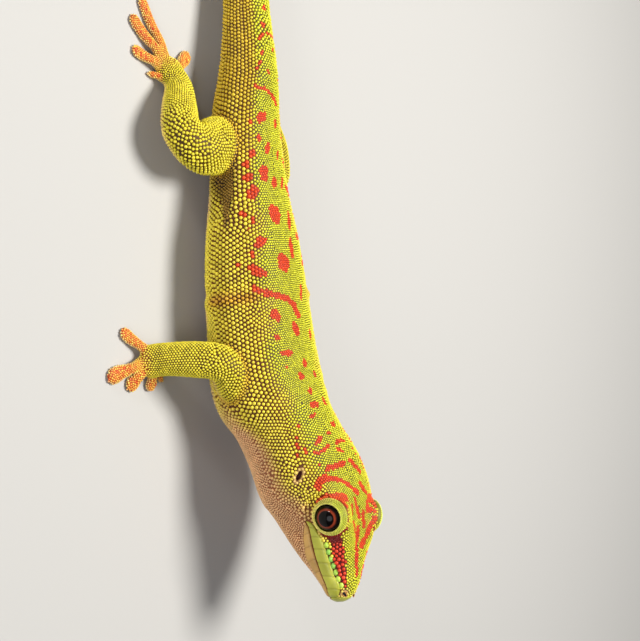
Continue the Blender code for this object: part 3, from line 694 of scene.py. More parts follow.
def lid_reach(turn):
    """The lid's outer radius, widest above and behind the eye, by the angle round it."""
    return LID_LEAST + LID_SPREAD * (0.5 + 0.5 * np.cos(turn - math.radians(130))) ** 0.8


def ear_oval(points, side):
    """How far points lie from the middle of the ear, as a share of its own oval."""
    slant, cross = ear_frame(side)
    away = points - on_side(side, EAR, -COAT_DEPTH)
    share = np.hypot((away @ slant) / EAR_LONG, (away @ cross) / EAR_WIDE)
    return np.where(np.linalg.norm(away, axis=1) < 4, share, 99)


# How far from its line a leg's skin can lie, and how high its toes can stand
LEG_ROOM, TOES_BELOW = 16, 4.5


class Parts:
    """For each point of the hide, the part of the body that it belongs to and its place there."""

    def __init__(self, points, trunk_only=False):
        self.points = points
        self.along, self.angle, self.trunk = beside_body(points)
        self.off = right_of_back(self.angle)
        self.leg = np.full(len(points), -1)
        self.share = np.zeros(len(points))
        self.turn = np.zeros(len(points))
        self.leg_gap = np.full(len(points), 99.0)
        self.toe_share = np.full(len(points), -1.0)
        self.toe_number = np.full(len(points), -1)
        for number, (name, leg) in enumerate(() if trunk_only else legs.items()):
            line = leg.line.at(np.linspace(0, leg.line.length, 12))
            low, high = line.min(0) - LEG_ROOM, line.max(0) + LEG_ROOM
            near = np.flatnonzero(((points > low) & (points < high)).all(1))
            if not len(near):
                continue
            along, turn, gap = leg.beside(points[near])
            gap = np.where(along < 0.5, 99, gap)
            closer = gap < self.leg_gap[near]
            rows = near[closer]
            self.leg_gap[rows] = gap[closer]
            self.leg[rows] = number
            self.share[rows] = along[closer] / leg.line.length
            self.turn[rows] = turn[closer]
            low_ones = near[points[near, 2] < TOES_BELOW]
            for toe_number, toe in enumerate(toes[name]):
                if not len(low_ones):
                    continue
                along, turn, gap = toe.beside(points[low_ones])
                closer = (gap < self.leg_gap[low_ones]) & (along > 0.5)
                rows = low_ones[closer]
                self.leg_gap[rows] = gap[closer]
                self.leg[rows] = number
                self.share[rows] = 1.0
                self.toe_share[rows] = along[closer] / toe.line.length
                self.toe_number[rows] = toe_number
                self.turn[rows] = turn[closer]
        self.limb = ease(0.8, -0.8, self.leg_gap - self.trunk)
        self.is_limb = self.leg_gap < self.trunk


def detail_height(parts):
    """How far the skin moves along its normals at each point for the mouth, ears and nostrils."""
    points = parts.points
    move = np.zeros(len(points))
    head = np.flatnonzero((parts.along < 45) & ~parts.is_limb)
    if len(head):
        gap = np.array([mouth_tree.find(p)[2] for p in points[head]])
        move[head] -= GROOVE_DEEP * np.exp(-((gap / GROOVE_WIDE) ** 2))
    for side in SIDES:
        spot = on_side(side, NOSTRIL, -COAT_DEPTH)
        gap = np.linalg.norm(points - spot, axis=1)
        move += 0.16 * np.exp(-(((gap - 0.75) / 0.25) ** 2)) - 0.75 * np.exp(-((gap / 0.42) ** 2))
        oval = ear_oval(points, side)
        move += 0.14 * np.exp(-(((oval - 1.3) / 0.3) ** 2)) - EAR_DEEP * ease(1.05, 0.5, oval)
    return move


def fold_height(along, off):
    """Loose folds behind the shoulder, at the neck and before the thigh, and the tail's rings."""
    height = np.zeros(len(along))
    wave = 1.2 * np.sin(np.radians(off * 2))
    for far, low, high, tall, reach in FOLDS:
        round_share = ease(low - 14, low + 6, np.abs(off)) * ease(high + 14, high - 6, np.abs(off))
        height += tall * round_share * np.exp(-(((along - far - wave) / reach) ** 2))
    tail = ease(TAIL_START, 135, along)
    ring = np.abs(np.sin((along - TAIL_START) * math.pi / TAIL_RING))
    height += tail * 0.1 * (1 - np.exp(-((ring / 0.28) ** 2))) - tail * 0.06
    return height


points, normals = places_of(skin.data), normals_of(skin.data)
parts = Parts(points)
inner = ease(0.8, 2.2, parts.leg_gap - parts.trunk)
dome_gap = np.min([np.linalg.norm(points - eye_place(side), axis=1) for side in SIDES], axis=0)
inner = inner * ease(5.2, 6.6, dome_gap) * ease(0.6, 2.0, parts.along)
settle = np.clip(-COAT_DEPTH - parts.trunk, -0.3, 0.3) * inner
points = points + normals * (settle + fold_height(parts.along, parts.off) * inner)[:, None]
parts.points = points
points = points + normals * detail_height(parts)[:, None]
for side in SIDES:
    centre, axis = eye_place(side), eye_axis(side)
    away = points - centre
    height = away @ axis
    beside = np.linalg.norm(away - height[:, None] * axis, axis=1)
    far = np.linalg.norm(away, axis=1)
    sunk = (height > 0.5) & (beside < WINDOW_RADIUS) & (far < 7)
    points[sunk] = centre + unit(away[sunk]) * np.minimum(far[sunk], SOCKET_DEEP)[:, None]
    _, round_eye, _ = ring_off_eye(points, side)
    reach = lid_reach(np.radians(round_eye))
    ceiling = 1.65 - 0.43 * (beside - WINDOW_RADIUS) + 1.1 * np.maximum(beside - reach - 0.15, 0)
    under_lid = (beside >= WINDOW_RADIUS) & (beside < reach + 1.8) & (far < 7.5)
    proud = (height > ceiling) & under_lid
    points[proud] -= axis * np.minimum(height - ceiling, 1.5)[proud, None]
points[:, 2] = np.maximum(points[:, 2], SOLE)
skin.data.vertices.foreach_set("co", (points * MM).astype(np.float32).ravel())
skin.data.update()


def groin_of(along, down):
    """The bare hollow before the thigh, a wedge that widens from its tip to the leg, painted dark brown
    there: partly its own tone, partly painted shade.
    """
    wide = 1 + 24 * ease(91, 109, along)
    off_middle = down - 81 - 0.5 * (along - 95)
    wide = wide + 0.6 * np.maximum(off_middle, 0) * ease(94, 104, along)
    return ease(91, 95, along) * ease(116, 110, along) * ease(1.25, 0.6, np.abs(off_middle) / wide)


def crease_of(parts):
    """How near each point lies to the crease where a leg meets the trunk."""
    upper_leg = (parts.leg >= 0) & (parts.toe_number < 0) & (parts.share < 0.5)
    level = np.exp(-(((parts.leg_gap - parts.trunk) / 0.9) ** 2))
    return upper_leg * level * ease(2.5, 1.0, np.abs(parts.trunk))


def coat_tones(parts):
    """The colour of the scales and of the skin between them at each point."""
    points, along, off = parts.points, parts.along, parts.off
    down = np.abs(off)
    patchy = wobble_at(points, 9, 11)
    flank = ease(22, 52, down + 6 * patchy)
    scale = blend(BACK_GREEN, SIDE_YELLOW, flank)
    between = blend(BACK_SKIN, SIDE_SKIN, ease(18, 42, down + 5 * patchy))
    belly = ease(124, 148, down + 5 * patchy)
    scale = blend(scale, BELLY_CREAM, belly)
    between = blend(between, BELLY_SKIN, belly)
    tail = ease(108, 126, along + 4 * patchy) * ease(26, 50, down) * ease(190, 150, along)
    scale = blend(scale, TAIL_GOLD, 0.75 * tail)
    between = blend(between, TAIL_SKIN, tail)
    throat = ease(74, 98, down - 16 * ease(40, 52, along)) * ease(60, 46, along)
    scale = blend(scale, THROAT_TAN, throat)
    between = blend(between, THROAT_SKIN, throat)
    fold = np.exp(-(((along - FOLDS[0][0]) / 1.6) ** 2)) * ease(30, 50, down) * ease(120, 95, down)
    scale = blend(scale, FOLD_ORANGE, 0.7 * fold)
    # Painted shade: the hollow before the thigh is darkened, over its own browner tone.
    groin = groin_of(along, down)
    scale = blend(scale, GROIN_BROWN_AND_SHADE, 0.9 * groin)
    between = blend(between, GROIN_SHADE_SKIN, groin)
    head_top = ease(34, 24, along) * ease(60, 30, down)
    between = blend(between, BACK_SKIN, head_top * 0.6)
    marked = is_marked(along, off, points) & (parts.limb < 0.4)
    lore = in_lore(along, off, points) > 0
    scale[marked], between[marked] = MARK_RED, MARK_SKIN
    dark_end = ease(12.2, 13.2, along)
    scale[lore] = blend(LORE_RED, LORE_DARK, dark_end)[lore]
    between[lore] = LORE_DARK * 0.5
    for side in SIDES:
        ring, round_eye, ahead = ring_off_eye(points, side)
        edge = lid_reach(np.radians(round_eye))
        near = (ahead > -3) & (ahead < 2.3) & (ring > edge - 0.15)
        turn = round_eye % 360
        arc = near & (ring < edge + 1.25 - 0.0004 * (turn - 172) ** 2) & (turn > 120) & (turn < 226)
        scale[arc], between[arc] = EYE_ORANGE, MARK_SKIN
        line = near & (ring < edge + 0.2) & (turn <= 120) & (turn > 55)
        between[line] = PINK_SKIN
        front = near & (ring < edge + 0.5) & ((turn <= 55) | (turn > 330))
        scale[front], between[front] = LORE_DARK * 1.8, LORE_DARK
        oval = ear_oval(points, side)
        scale = blend(scale, EAR_PINK, 0.75 * ease(2.0, 1.3, oval))
        between = blend(between, EAR_PINK * 0.8, 0.9 * ease(1.8, 1.3, oval))
        # Painted shade: the middle of the ear hole is darkened.
        between = blend(between, HOLE_SHADE, ease(1.02, 0.85, oval))
        hole = np.linalg.norm(points - on_side(side, NOSTRIL, -COAT_DEPTH), axis=1)
        between = blend(between, NOSTRIL_TAN, ease(1.2, 0.8, hole))
        # Painted shade: the middle of the nostril is darkened.
        between = blend(between, HOLE_SHADE * 0.4, ease(0.66, 0.5, hole))
        scale = blend(scale, BELLY_CREAM, 0.35 * ease(1.9, 1.2, hole))
    share = parts.share
    limb_scale = blend(LEG_GREEN, TOE_YELLOW, 0.6 * ease(0.9, 1.0, share))
    limb_between = blend(LEG_SKIN, TOE_SKIN, 0.6 * ease(0.9, 1.0, share))
    toe = ease(-0.1, 0.5, parts.toe_share)
    speckled = blend(TOE_YELLOW, TOE_ORANGE, 0.3 + 0.5 * wobble_at(points, 1.1, 23) + 0.2 * toe)
    rim = ease(0.8, 0.97, np.abs(np.cos(np.radians(parts.turn)))) * toe
    limb_scale = blend(limb_scale, blend(speckled, TOE_RIM, 0.6 * rim), toe)
    limb_between = blend(limb_between, TOE_SKIN, toe)
    below = ease(-0.15, -0.75, np.sin(np.radians(parts.turn))) * (parts.leg >= 0)
    limb_scale = blend(limb_scale, BELLY_CREAM, 0.6 * below)
    limb_between = blend(limb_between, BELLY_SKIN, 0.8 * below)
    scale, between = blend(scale, limb_scale, parts.limb), blend(between, limb_between, parts.limb)
    # At the crease where a leg meets the trunk the scales turn orange, and the skin between them is
    # darkened as painted shade.
    crease = crease_of(parts)
    return blend(scale, CREASE_ORANGE, 0.6 * crease), blend(between, GROIN_SHADE_SKIN, 0.3 * crease)


def give_tones(mesh, tones):
    """Store the colour of each point for the materials to read."""
    layer = mesh.attributes.new("tone", "FLOAT_COLOR", "POINT")
    colours = np.ones((len(mesh.vertices), 4), np.float32)
    colours[:, :3] = tones
    layer.data.foreach_set("color", colours.ravel())


def dress(piece, tones, material):
    """Give a piece its material and its tones, one for all of it or one for each point."""
    give_tones(piece.data, tones)
    piece.data.materials.clear()
    piece.data.materials.append(material)
    piece.data.shade_smooth()


BLOTCH_GRAIN, BLOTCH_DARK, BLOTCH_LIGHT = 420, 0.78, 1.2


def hide_material(name, roughness, grain, depth):
    """A surface in its own tone, unevenly shaded, with a fine grain of wrinkles."""
    material = bpy.data.materials.new(name)
    material.use_nodes = True
    nodes, links = material.node_tree.nodes, material.node_tree.links
    shader = nodes["Principled BSDF"]
    where = nodes.new("ShaderNodeTexCoord")
    tone = nodes.new("ShaderNodeAttribute")
    tone.attribute_name = "tone"
    blotch = nodes.new("ShaderNodeTexNoise")
    blotch.inputs["Scale"].default_value = BLOTCH_GRAIN
    blotch.inputs["Detail"].default_value = 4
    links.new(where.outputs["Object"], blotch.inputs["Vector"])
    shade = nodes.new("ShaderNodeMapRange")
    shade.inputs["To Min"].default_value = BLOTCH_DARK
    shade.inputs["To Max"].default_value = BLOTCH_LIGHT
    links.new(blotch.outputs["Fac"], shade.inputs["Value"])
    tinted = nodes.new("ShaderNodeVectorMath")
    tinted.operation = "SCALE"
    links.new(tone.outputs["Color"], tinted.inputs[0])
    links.new(shade.outputs["Result"], tinted.inputs["Scale"])
    links.new(tinted.outputs["Vector"], shader.inputs["Base Color"])
    cells = nodes.new("ShaderNodeTexVoronoi")
    cells.inputs["Scale"].default_value = grain
    links.new(where.outputs["Object"], cells.inputs["Vector"])
    relief = nodes.new("ShaderNodeBump")
    relief.inputs["Strength"].default_value = 0.5
    relief.inputs["Distance"].default_value = depth * MM
    links.new(cells.outputs["Distance"], relief.inputs["Height"])
    links.new(relief.outputs["Normal"], shader.inputs["Normal"])
    wear = nodes.new("ShaderNodeMapRange")
    wear.inputs["To Min"].default_value = roughness - 0.08
    wear.inputs["To Max"].default_value = roughness + 0.1
    links.new(blotch.outputs["Fac"], wear.inputs["Value"])
    links.new(wear.outputs["Result"], shader.inputs["Roughness"])
    shader.inputs["Specular IOR Level"].default_value = 0.3
    return material


parts = Parts(places_of(skin.data))
dress(skin, coat_tones(parts)[1], hide_material("hide", 0.6, 2600, 0.06))
FLESH = ["head", "neck", "torso", "tail_base", "tail_middle", "tail_tip"]
FLESH += [f"{piece}_{side}" for piece in ("upper_arm", "forearm", "hand", "thigh", "shank", "foot")
          for side in SIDES]
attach(skin, "root")
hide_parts(*FLESH)

# The scales
# Small beads of horn cover the hide, fine on the back, head and feet and largest on the flanks.
# Each is a low closed dome set on the skin. They stand in staggered rows round the body and the
# limbs, pushed apart until they are evenly spaced, with a neat row round each eye, ear and lip.

SCALE_SEED, TONE_SEED, SIZE_SEED = 21, 5, 7
# How far the sown roots are shaken, how far apart they are pushed and how fast, in scale widths
SHAKEN, APART, PUSH, LONGEST_STEP, SPACING_ROUNDS = 0.15, 1.12, 0.22, 0.25, 15
# A gap wider than this gets another scale, and of two roots nearer than this one goes
GAP_FILLED, TOO_NEAR = 0.8, 0.7
ROOT_PATCH = 0.003
# Bands of rows down from the back, in degrees
BANDS = (0, 16, 30, 42, 54, 70, 100, 135, 180)
# Height of the lip plates over and under the mouth, in degrees round the head, by distance
UPPER_LIP = (
    (1, 50), (2.5, 48), (3.9, 42), (5.5, 33), (7.3, 28), (9.1, 22), (10.6, 18), (12.3, 15), (14.1, 11),
    (15.5, 6.5), (17.5, 4.5), (20.5, 3.5),
)
LOWER_LIP = (
    (1, 36), (3, 30), (6.3, 25), (9.6, 20), (11.1, 16), (12.8, 11.5), (14.7, 9), (16.6, 7), (19, 3.5),
    (20.5, 2.5),
)
LIP_OFF, LIP_END = 0.08, 19.6
# The row of oblong granules over the upper lip: where it runs, and their length and height
ROW_FROM, ROW_TO, ROW_LONG, ROW_TALL = 3.6, 12.8, 1.6, 1.1
# Width of the scales by degrees down from the back, and along a leg
DOWN_SIZES = ((0, 0.5), (19, 0.62), (32, 0.8), (45, 0.96), (65, 1.06))
NAPE_SIZES = ((0, 0.58), (10, 0.66), (20, 0.74), (30, 0.82), (60, 0.86))
LEG_SIZES = ((0, 0.76), (0.3, 0.82), (0.5, 0.76), (0.75, 0.66), (0.97, 0.56))
TOE_SIZE = 0.52
# The share of a leg past which its foot begins
FOOT_FROM = 0.84
# Staggered rows run across the body on the back and along it elsewhere: steps as shares of a scale
ACROSS, ALONG = (0.866, 1.0), (0.5, 1.732)


def scale_size(parts):
    """The width of the scales at each point, in millimetres."""
    along, down = parts.along, np.abs(parts.off)
    size = np.interp(down, *zip(*DOWN_SIZES))
    size = size + 0.14 * np.exp(-(((along - 57) / 8) ** 2) - ((down - 48) / 16) ** 2)
    nape = np.interp(down, *zip(*NAPE_SIZES))
    size = size + (nape - size) * ease(52, 44, along)
    size = size * (1 - 0.26 * ease(84, 102, down) * ease(56, 44, along))
    top_of_head = 0.54 + 0.22 * ease(20, 50, down)
    size = size + (top_of_head - size) * ease(33, 27, along) * ease(96, 84, down)
    size = size + ease(15, 10, along) * ease(96, 84, down) * (0.64 - size)
    lore = in_lore(along, parts.off, parts.points)
    size = np.where(lore > 0, 0.45 + 0.5 * ease(13, 12.2, along), size)
    tail = ease(118, 145, along)
    size = size + tail * (0.9 - 0.1 * ease(26, 0, down) - size) - 0.22 * ease(190, 262, along)
    size = size * (1 - 0.36 * groin_of(along, down) ** 2)
    limb = np.interp(parts.share, *zip(*LEG_SIZES))
    limb = np.where(parts.toe_share >= 0, TOE_SIZE, limb)
    size = size + (limb - size) * parts.limb
    return size * (1 - 0.38 * crease_of(parts))


def triangles_of(mesh):
    mesh.calc_loop_triangles()
    faces = np.empty(len(mesh.loop_triangles) * 3, np.int32)
    mesh.loop_triangles.foreach_get("vertices", faces)
    return faces.reshape(-1, 3)


def tree_over(points):
    """A tree that finds the points nearest to a place."""
    tree = KDTree(len(points))
    for i, point in enumerate(points):
        tree.insert(point, i)
    tree.balance()
    return tree


class Hide:
    """The skin's surface, for setting things on it."""

    def __init__(self, points, normals, faces, size):
        self.points, self.normals, self.faces, self.size = points, normals, faces, size
        self.tree = BVHTree.FromPolygons([tuple(p) for p in points], faces.tolist())

    def nearest(self, places):
        found = [self.tree.find_nearest(tuple(place)) for place in places]
        spots = np.array([hit[0] for hit in found])
        face = self.faces[np.array([hit[2] for hit in found])]
        return spots, unit(self.normals[face].mean(1)), self.size[face].mean(1)

    def random_places(self, share, rng):
        corners = self.points[self.faces]
        cross = np.cross(corners[:, 1] - corners[:, 0], corners[:, 2] - corners[:, 0])
        wanted = 0.5 * np.linalg.norm(cross, axis=1) / (ACROSS[0] * self.size[self.faces].mean(1) ** 2)
        picks = rng.choice(len(self.faces), int(wanted.sum() * share), p=wanted / wanted.sum())
        u, v = rng.random((2, len(picks), 1))
        fold = u + v > 1
        u, v = np.where(fold, 1 - u, u), np.where(fold, 1 - v, v)
        a, b, c = corners[picks, 0], corners[picks, 1], corners[picks, 2]
        return a + (b - a) * u + (c - a) * v


def trunk_rows():
    """Staggered rows of the trunk, in bands from the back to the belly."""
    rows = []
    for low, high in zip(BANDS, BANDS[1:]):
        middle = np.array([(low + high) / 2 + 90.0])
        along, number = 0.6, 0
        while along < spine.length - 0.5:
            step, apart = ACROSS if high <= 30 and along > 46 else ALONG
            here = np.array([along])
            place = on_body(here, middle, -COAT_DEPTH, SOLE)
            size = scale_size(Parts(place, trunk_only=True))[0]
            edge = on_body(here, np.linspace(low, high, 5) + 90, -COAT_DEPTH, SOLE)
            reach = np.linalg.norm(np.diff(edge, axis=0), axis=1).sum()
            count = max(int(round(reach / (size * apart))), 1)
            share = (np.arange(count) + 0.25 + 0.5 * (number % 2)) / count
            turn = low + (high - low) * share
            for angle in (90 + turn, 90 - turn):
                rows.append(on_body(np.full(count, along), angle % 360, -COAT_DEPTH, SOLE))
            along += step * size
            number += 1
    return rows


def limb_rows(limb, sizes):
    """Staggered rings of scale places along a leg or a toe."""
    rows = []
    along, number = 1.0, 0
    step, apart = ALONG
    while along < limb.line.length - 0.2:
        wide, tall = limb.half(np.array([along]))[:, 0]
        size = np.interp(along / limb.line.length, *zip(*sizes))
        end = full(limb.line.length - along, limb.tip_round)
        count = max(int(round(2 * math.pi * (wide + tall) / 2 * end / (size * apart))), 2)
        turn = (np.arange(count) + 0.5 * (number % 2)) * 360 / count
        rows.append(limb.surface(np.full(count, along), turn, -COAT_DEPTH, SOLE))
        along += step * size
        number += 1
    return rows


def thin_out(places, reach):
    """Leave out each place that is nearer than its reach to one before it."""
    tree = tree_over(places)
    gone = np.zeros(len(places), bool)
    for i, place in enumerate(places):
        if gone[i]:
            continue
        for _, other, _ in tree.find_range(place, reach[i]):
            if other > i:
                gone[other] = True
    return ~gone


def round_eye_place(side, turn, reach, ahead):
    """Places round an eye, by the angle from its front over its top, its reach and its height."""
    axis, front, top = eye_frame(side)
    turn, reach, ahead = np.broadcast_arrays(turn, reach, ahead)
    flat = np.cos(turn)[..., None] * front + np.sin(turn)[..., None] * top
    return eye_place(side) + flat * reach[..., None] + axis * ahead[..., None]


def lip_tall(edge, spot):
    """Degrees round the head that a lip's plates take, down to nothing at the mouth's corner."""
    return read(edge, spot)[..., 0] * np.sqrt(np.clip((LIP_END - spot) / 4.5, 0, 1))


def lip_row_span(spot):
    """Degrees round the head that the row of oblong granules over the upper lip takes."""
    taken = (spot > ROW_FROM - 0.5) & (spot < ROW_TO + 0.5)
    return taken * np.degrees(ROW_TALL / np.maximum(girth(spot), 2.2))


def fixed_rows():
    """Places of the neat rows round the eyes and ears and along the lips."""
    rows = []
    for side in SIDES:
        turn = np.linspace(0, 2 * math.pi, 57)[:-1]
        for more in (0.3, 0.72):
            rows.append(round_eye_place(side, turn, lid_reach(turn) + more, 1.7))
            turn = turn + math.pi / 56
        slant, cross = ear_frame(side)
        turn = np.linspace(0, 2 * math.pi, 19)[:-1]
        oval = np.cos(turn)[:, None] * slant * 1.72 + np.sin(turn)[:, None] * cross * 0.95
        rows.append(on_side(side, EAR, -COAT_DEPTH) + oval)
        for edge, upper, size in ((UPPER_LIP, 1, 0.62), (LOWER_LIP, -1, 0.6)):
            spot = np.arange(3.0, LIP_END - 1.2, size)
            beside = np.degrees((LIP_OFF + 0.3) / np.maximum(girth(spot), 2.2))
            if upper == 1:
                beside, spot = beside[lip_row_span(spot) == 0], spot[lip_row_span(spot) == 0]
            above = -mouth_drop(spot) + (lip_tall(edge, spot) + beside) * upper
            rows.append(on_body(spot, side_angle(side, above), -COAT_DEPTH, SOLE))
    return np.vstack(rows)


def turn_to(direction):
    """The turn that brings Z to a direction, with X level."""
    z = Vector(direction).normalized()
    x = Vector((0, 0, 1)).cross(z).normalized()
    return Matrix((x, z.cross(x), z)).transposed()


def bare_places(scales):
    """Where no bead grows: eyes, ear holes, nostrils, lips and soles."""
    points = scales.points
    bare = points[:, 2] < SOLE + 0.1
    for side in SIDES:
        ring, round_eye, ahead = ring_off_eye(points, side)
        bare |= (ring < lid_reach(np.radians(round_eye)) - 0.1) & (ahead > 0) & (ahead < 2.3)
        bare |= np.linalg.norm(points - on_side(side, NOSTRIL), axis=1) < 0.8
        bare |= ear_oval(points, side) < 1.22
    level = 90 + mouth_drop(scales.along) - np.abs(scales.off)
    edge = np.degrees(LIP_OFF / np.maximum(girth(scales.along), 2.2))
    over = lip_tall(UPPER_LIP, scales.along) + edge + lip_row_span(scales.along)
    lips = (scales.along < LIP_END) & (level > -lip_tall(LOWER_LIP, scales.along) - edge) & (level < over)
    tip = (scales.along < 0.9) & ~scales.is_limb
    return bare | (lips & ~scales.is_limb) | tip


def sow_scales(hide):
    """Roots of the scales, in rows that are pushed apart until they are evenly spaced."""
    rng = np.random.default_rng(SCALE_SEED)
    rows = trunk_rows()
    for name, leg in legs.items():
        rows += limb_rows(leg, LEG_SIZES)
        for toe in toes[name]:
            rows += limb_rows(toe, ((0, TOE_SIZE), (1, TOE_SIZE)))
    places = np.vstack(rows)
    spots, _, _ = hide.nearest(places)
    spots = spots[np.linalg.norm(spots - places, axis=1) < 0.55]
    fixed, _, _ = hide.nearest(fixed_rows())
    spots = np.vstack([fixed, spots])
    for _ in range(2):
        samples = hide.random_places(2.0, rng)
        tree = tree_over(spots)
        _, _, size = hide.nearest(samples)
        gap = np.array([tree.find(sample)[2] for sample in samples])
        spots = np.vstack([spots, samples[gap > GAP_FILLED * size]])
        _, _, size = hide.nearest(spots)
        spots = spots[thin_out(spots, TOO_NEAR * size)]
    spots, _, size = hide.nearest(spots)
    held = tree_over(fixed)
    still = np.array([held.find(spot)[2] < 1e-4 for spot in spots])
    keep = still | ~bare_places(Parts(spots))
    spots, size, still = spots[keep], size[keep], still[keep]
    spots = spots + rng.normal(0, SHAKEN, spots.shape) * (size * ~still)[:, None]
    for number in range(SPACING_ROUNDS):
        if number % 2 == 0:
            tree = tree_over(spots)
            near = np.array([[hit[1] for hit in tree.find_n(spot, 8)][1:] for spot in spots])
        away = spots[:, None] - spots[near]
        gap = np.maximum(np.linalg.norm(away, axis=2), 1e-4)
        wanted = APART * 0.5 * (size[:, None] + size[near])
        short = np.maximum(wanted - gap, 0)
        move = (away / gap[..., None] * short[..., None]).sum(1) * PUSH
        reach = np.linalg.norm(move, axis=1, keepdims=True)
        move = move * np.minimum(1, LONGEST_STEP * size[:, None] / np.maximum(reach, 1e-6))
        move[still] = 0
        spots, rises, size = hide.nearest(spots + move)
    keep = still | ~bare_places(Parts(spots))
    tree = tree_over(spots)
    near = np.array([[hit[2] for hit in tree.find_n(spot, 7)][1:] for spot in spots])
    wide = np.sort(near, axis=1)[:, :5].mean(1)
    return spots[keep], rises[keep], np.clip(wide, 0.75 * size, 1.2 * size)[keep]


def lie_of(parts):
    """The way that scales point at each root: towards the tail, or down a limb."""
    lie = spine.heading(parts.along)
    for number, leg in enumerate(legs.values()):
        rows = parts.is_limb & (parts.leg == number)
        lie[rows] = leg.line.heading(parts.share[rows] * leg.line.length)
    return lie


# On the flat hide: how far the legs lie off the trunk and apart, and the length and spacing of toes
LEGS_OFF, LEGS_APART, PELT_TOE, PELT_TOES_APART = 80, (60, 45), 12, 7


def pelt_place(parts):
    """Where each root lies on the hide spread flat, in millimetres."""
    flat = np.stack([parts.along, np.radians(parts.off) * girth(parts.along)], -1)
    for number, leg in enumerate(legs.values()):
        rows = parts.is_limb & (parts.leg == number)
        wide, _ = leg.half(parts.share[rows] * leg.line.length)
        around = np.radians((parts.turn[rows] + 90) % 360 - 180) * wide
        far = parts.share[rows] * leg.line.length
        toe = parts.toe_number[rows]
        toe_far = leg.line.length + 2 + PELT_TOE * np.maximum(parts.toe_share[rows], 0)
        far = np.where(toe >= 0, toe_far, far)
        around = np.where(toe >= 0, (toe - 2) * PELT_TOES_APART + around * 0.3, around)
        off = LEGS_OFF + LEGS_APART[1] * (number % 2) + around
        flat[rows] = np.stack([far + LEGS_APART[0] * (number // 2), off], -1)
    return flat


def scale_shape(name, sides, shoulder, top, back):
    """One closed low dome, one unit across its half width, with its place in its own patch."""
    turn = (np.arange(sides) + 0.5) * 2 * math.pi / sides
    ring = np.stack([np.cos(turn), np.sin(turn)], -1)
    low = np.column_stack([ring * 1.0, np.full(sides, -0.35)])
    mid = np.column_stack([ring * 0.8, np.full(sides, shoulder)])
    mid[:, 0] += 0.5 * back
    points = np.vstack([low, mid, [(back, 0, top)]])
    faces = [tuple(range(sides))]
    for i in range(sides):
        j = (i + 1) % sides
        faces.append((i, j, sides + j, sides + i))
        faces.append((sides + i, sides + j, 2 * sides))
    obj = mesh_of(name, points / MM, faces)
    face_out(obj)
    obj.data.shade_smooth()
    patch = obj.data.attributes.new("patch", "FLOAT_VECTOR", "POINT")
    patch.data.foreach_set("vector", np.column_stack([points[:, :2] / 2, np.zeros(len(points))]).ravel())
    return obj


def face_out(obj):
    bm = bmesh.new()
    bm.from_mesh(obj.data)
    bmesh.ops.recalc_face_normals(bm, faces=bm.faces)
    bm.to_mesh(obj.data)
    bm.free()


def scale_tree():
    """The tree that sets a scale on every root, turned to the skin and in its own size."""
    tree = bpy.data.node_groups.new("set_scales", "GeometryNodeTree")
    face = tree.interface
    face.new_socket("Geometry", in_out="INPUT", socket_type="NodeSocketGeometry")
    face.new_socket("Scale Shape", in_out="INPUT", socket_type="NodeSocketObject")
    face.new_socket("Finish", in_out="INPUT", socket_type="NodeSocketMaterial")
    face.new_socket("Root Patch", in_out="INPUT", socket_type="NodeSocketFloat")
    face.new_socket("Geometry", in_out="OUTPUT", socket_type="NodeSocketGeometry")
    nodes, links = tree.nodes, tree.links
    given, made = nodes.new("NodeGroupInput"), nodes.new("NodeGroupOutput")

    def named(name, kind):
        node = nodes.new("GeometryNodeInputNamedAttribute")
        node.data_type = kind
        node.inputs["Name"].default_value = name
        return node.outputs["Attribute"]

    shape = nodes.new("GeometryNodeObjectInfo")
    links.new(given.outputs["Scale Shape"], shape.inputs["Object"])
    turn = nodes.new("FunctionNodeAxesToRotation")
    turn.primary_axis = "Z"
    turn.secondary_axis = "X"
    links.new(named("rise", "FLOAT_VECTOR"), turn.inputs["Primary Axis"])
    links.new(named("lie", "FLOAT_VECTOR"), turn.inputs["Secondary Axis"])
    place = nodes.new("GeometryNodeInstanceOnPoints")
    links.new(given.outputs["Geometry"], place.inputs["Points"])
    links.new(shape.outputs["Geometry"], place.inputs["Instance"])
    links.new(turn.outputs["Rotation"], place.inputs["Rotation"])
    links.new(named("size", "FLOAT_VECTOR"), place.inputs["Scale"])
    real = nodes.new("GeometryNodeRealizeInstances")
    links.new(place.outputs["Instances"], real.inputs["Geometry"])
    spread = nodes.new("ShaderNodeVectorMath")
    spread.operation = "SCALE"
    links.new(named("patch", "FLOAT_VECTOR"), spread.inputs[0])
    links.new(given.outputs["Root Patch"], spread.inputs["Scale"])
    root = nodes.new("ShaderNodeVectorMath")
    root.operation = "ADD"
    links.new(named("root", "FLOAT_VECTOR"), root.inputs[0])
    links.new(spread.outputs["Vector"], root.inputs[1])
    keep = nodes.new("GeometryNodeStoreNamedAttribute")
    keep.data_type = "FLOAT2"
    keep.domain = "CORNER"
    keep.inputs["Name"].default_value = "OFBake"
    links.new(real.outputs["Geometry"], keep.inputs["Geometry"])
    links.new(root.outputs["Vector"], keep.inputs["Value"])
    finish = nodes.new("GeometryNodeSetMaterial")
    links.new(keep.outputs["Geometry"], finish.inputs["Geometry"])
    links.new(given.outputs["Finish"], finish.inputs["Material"])
    links.new(finish.outputs["Geometry"], made.inputs["Geometry"])
    return tree


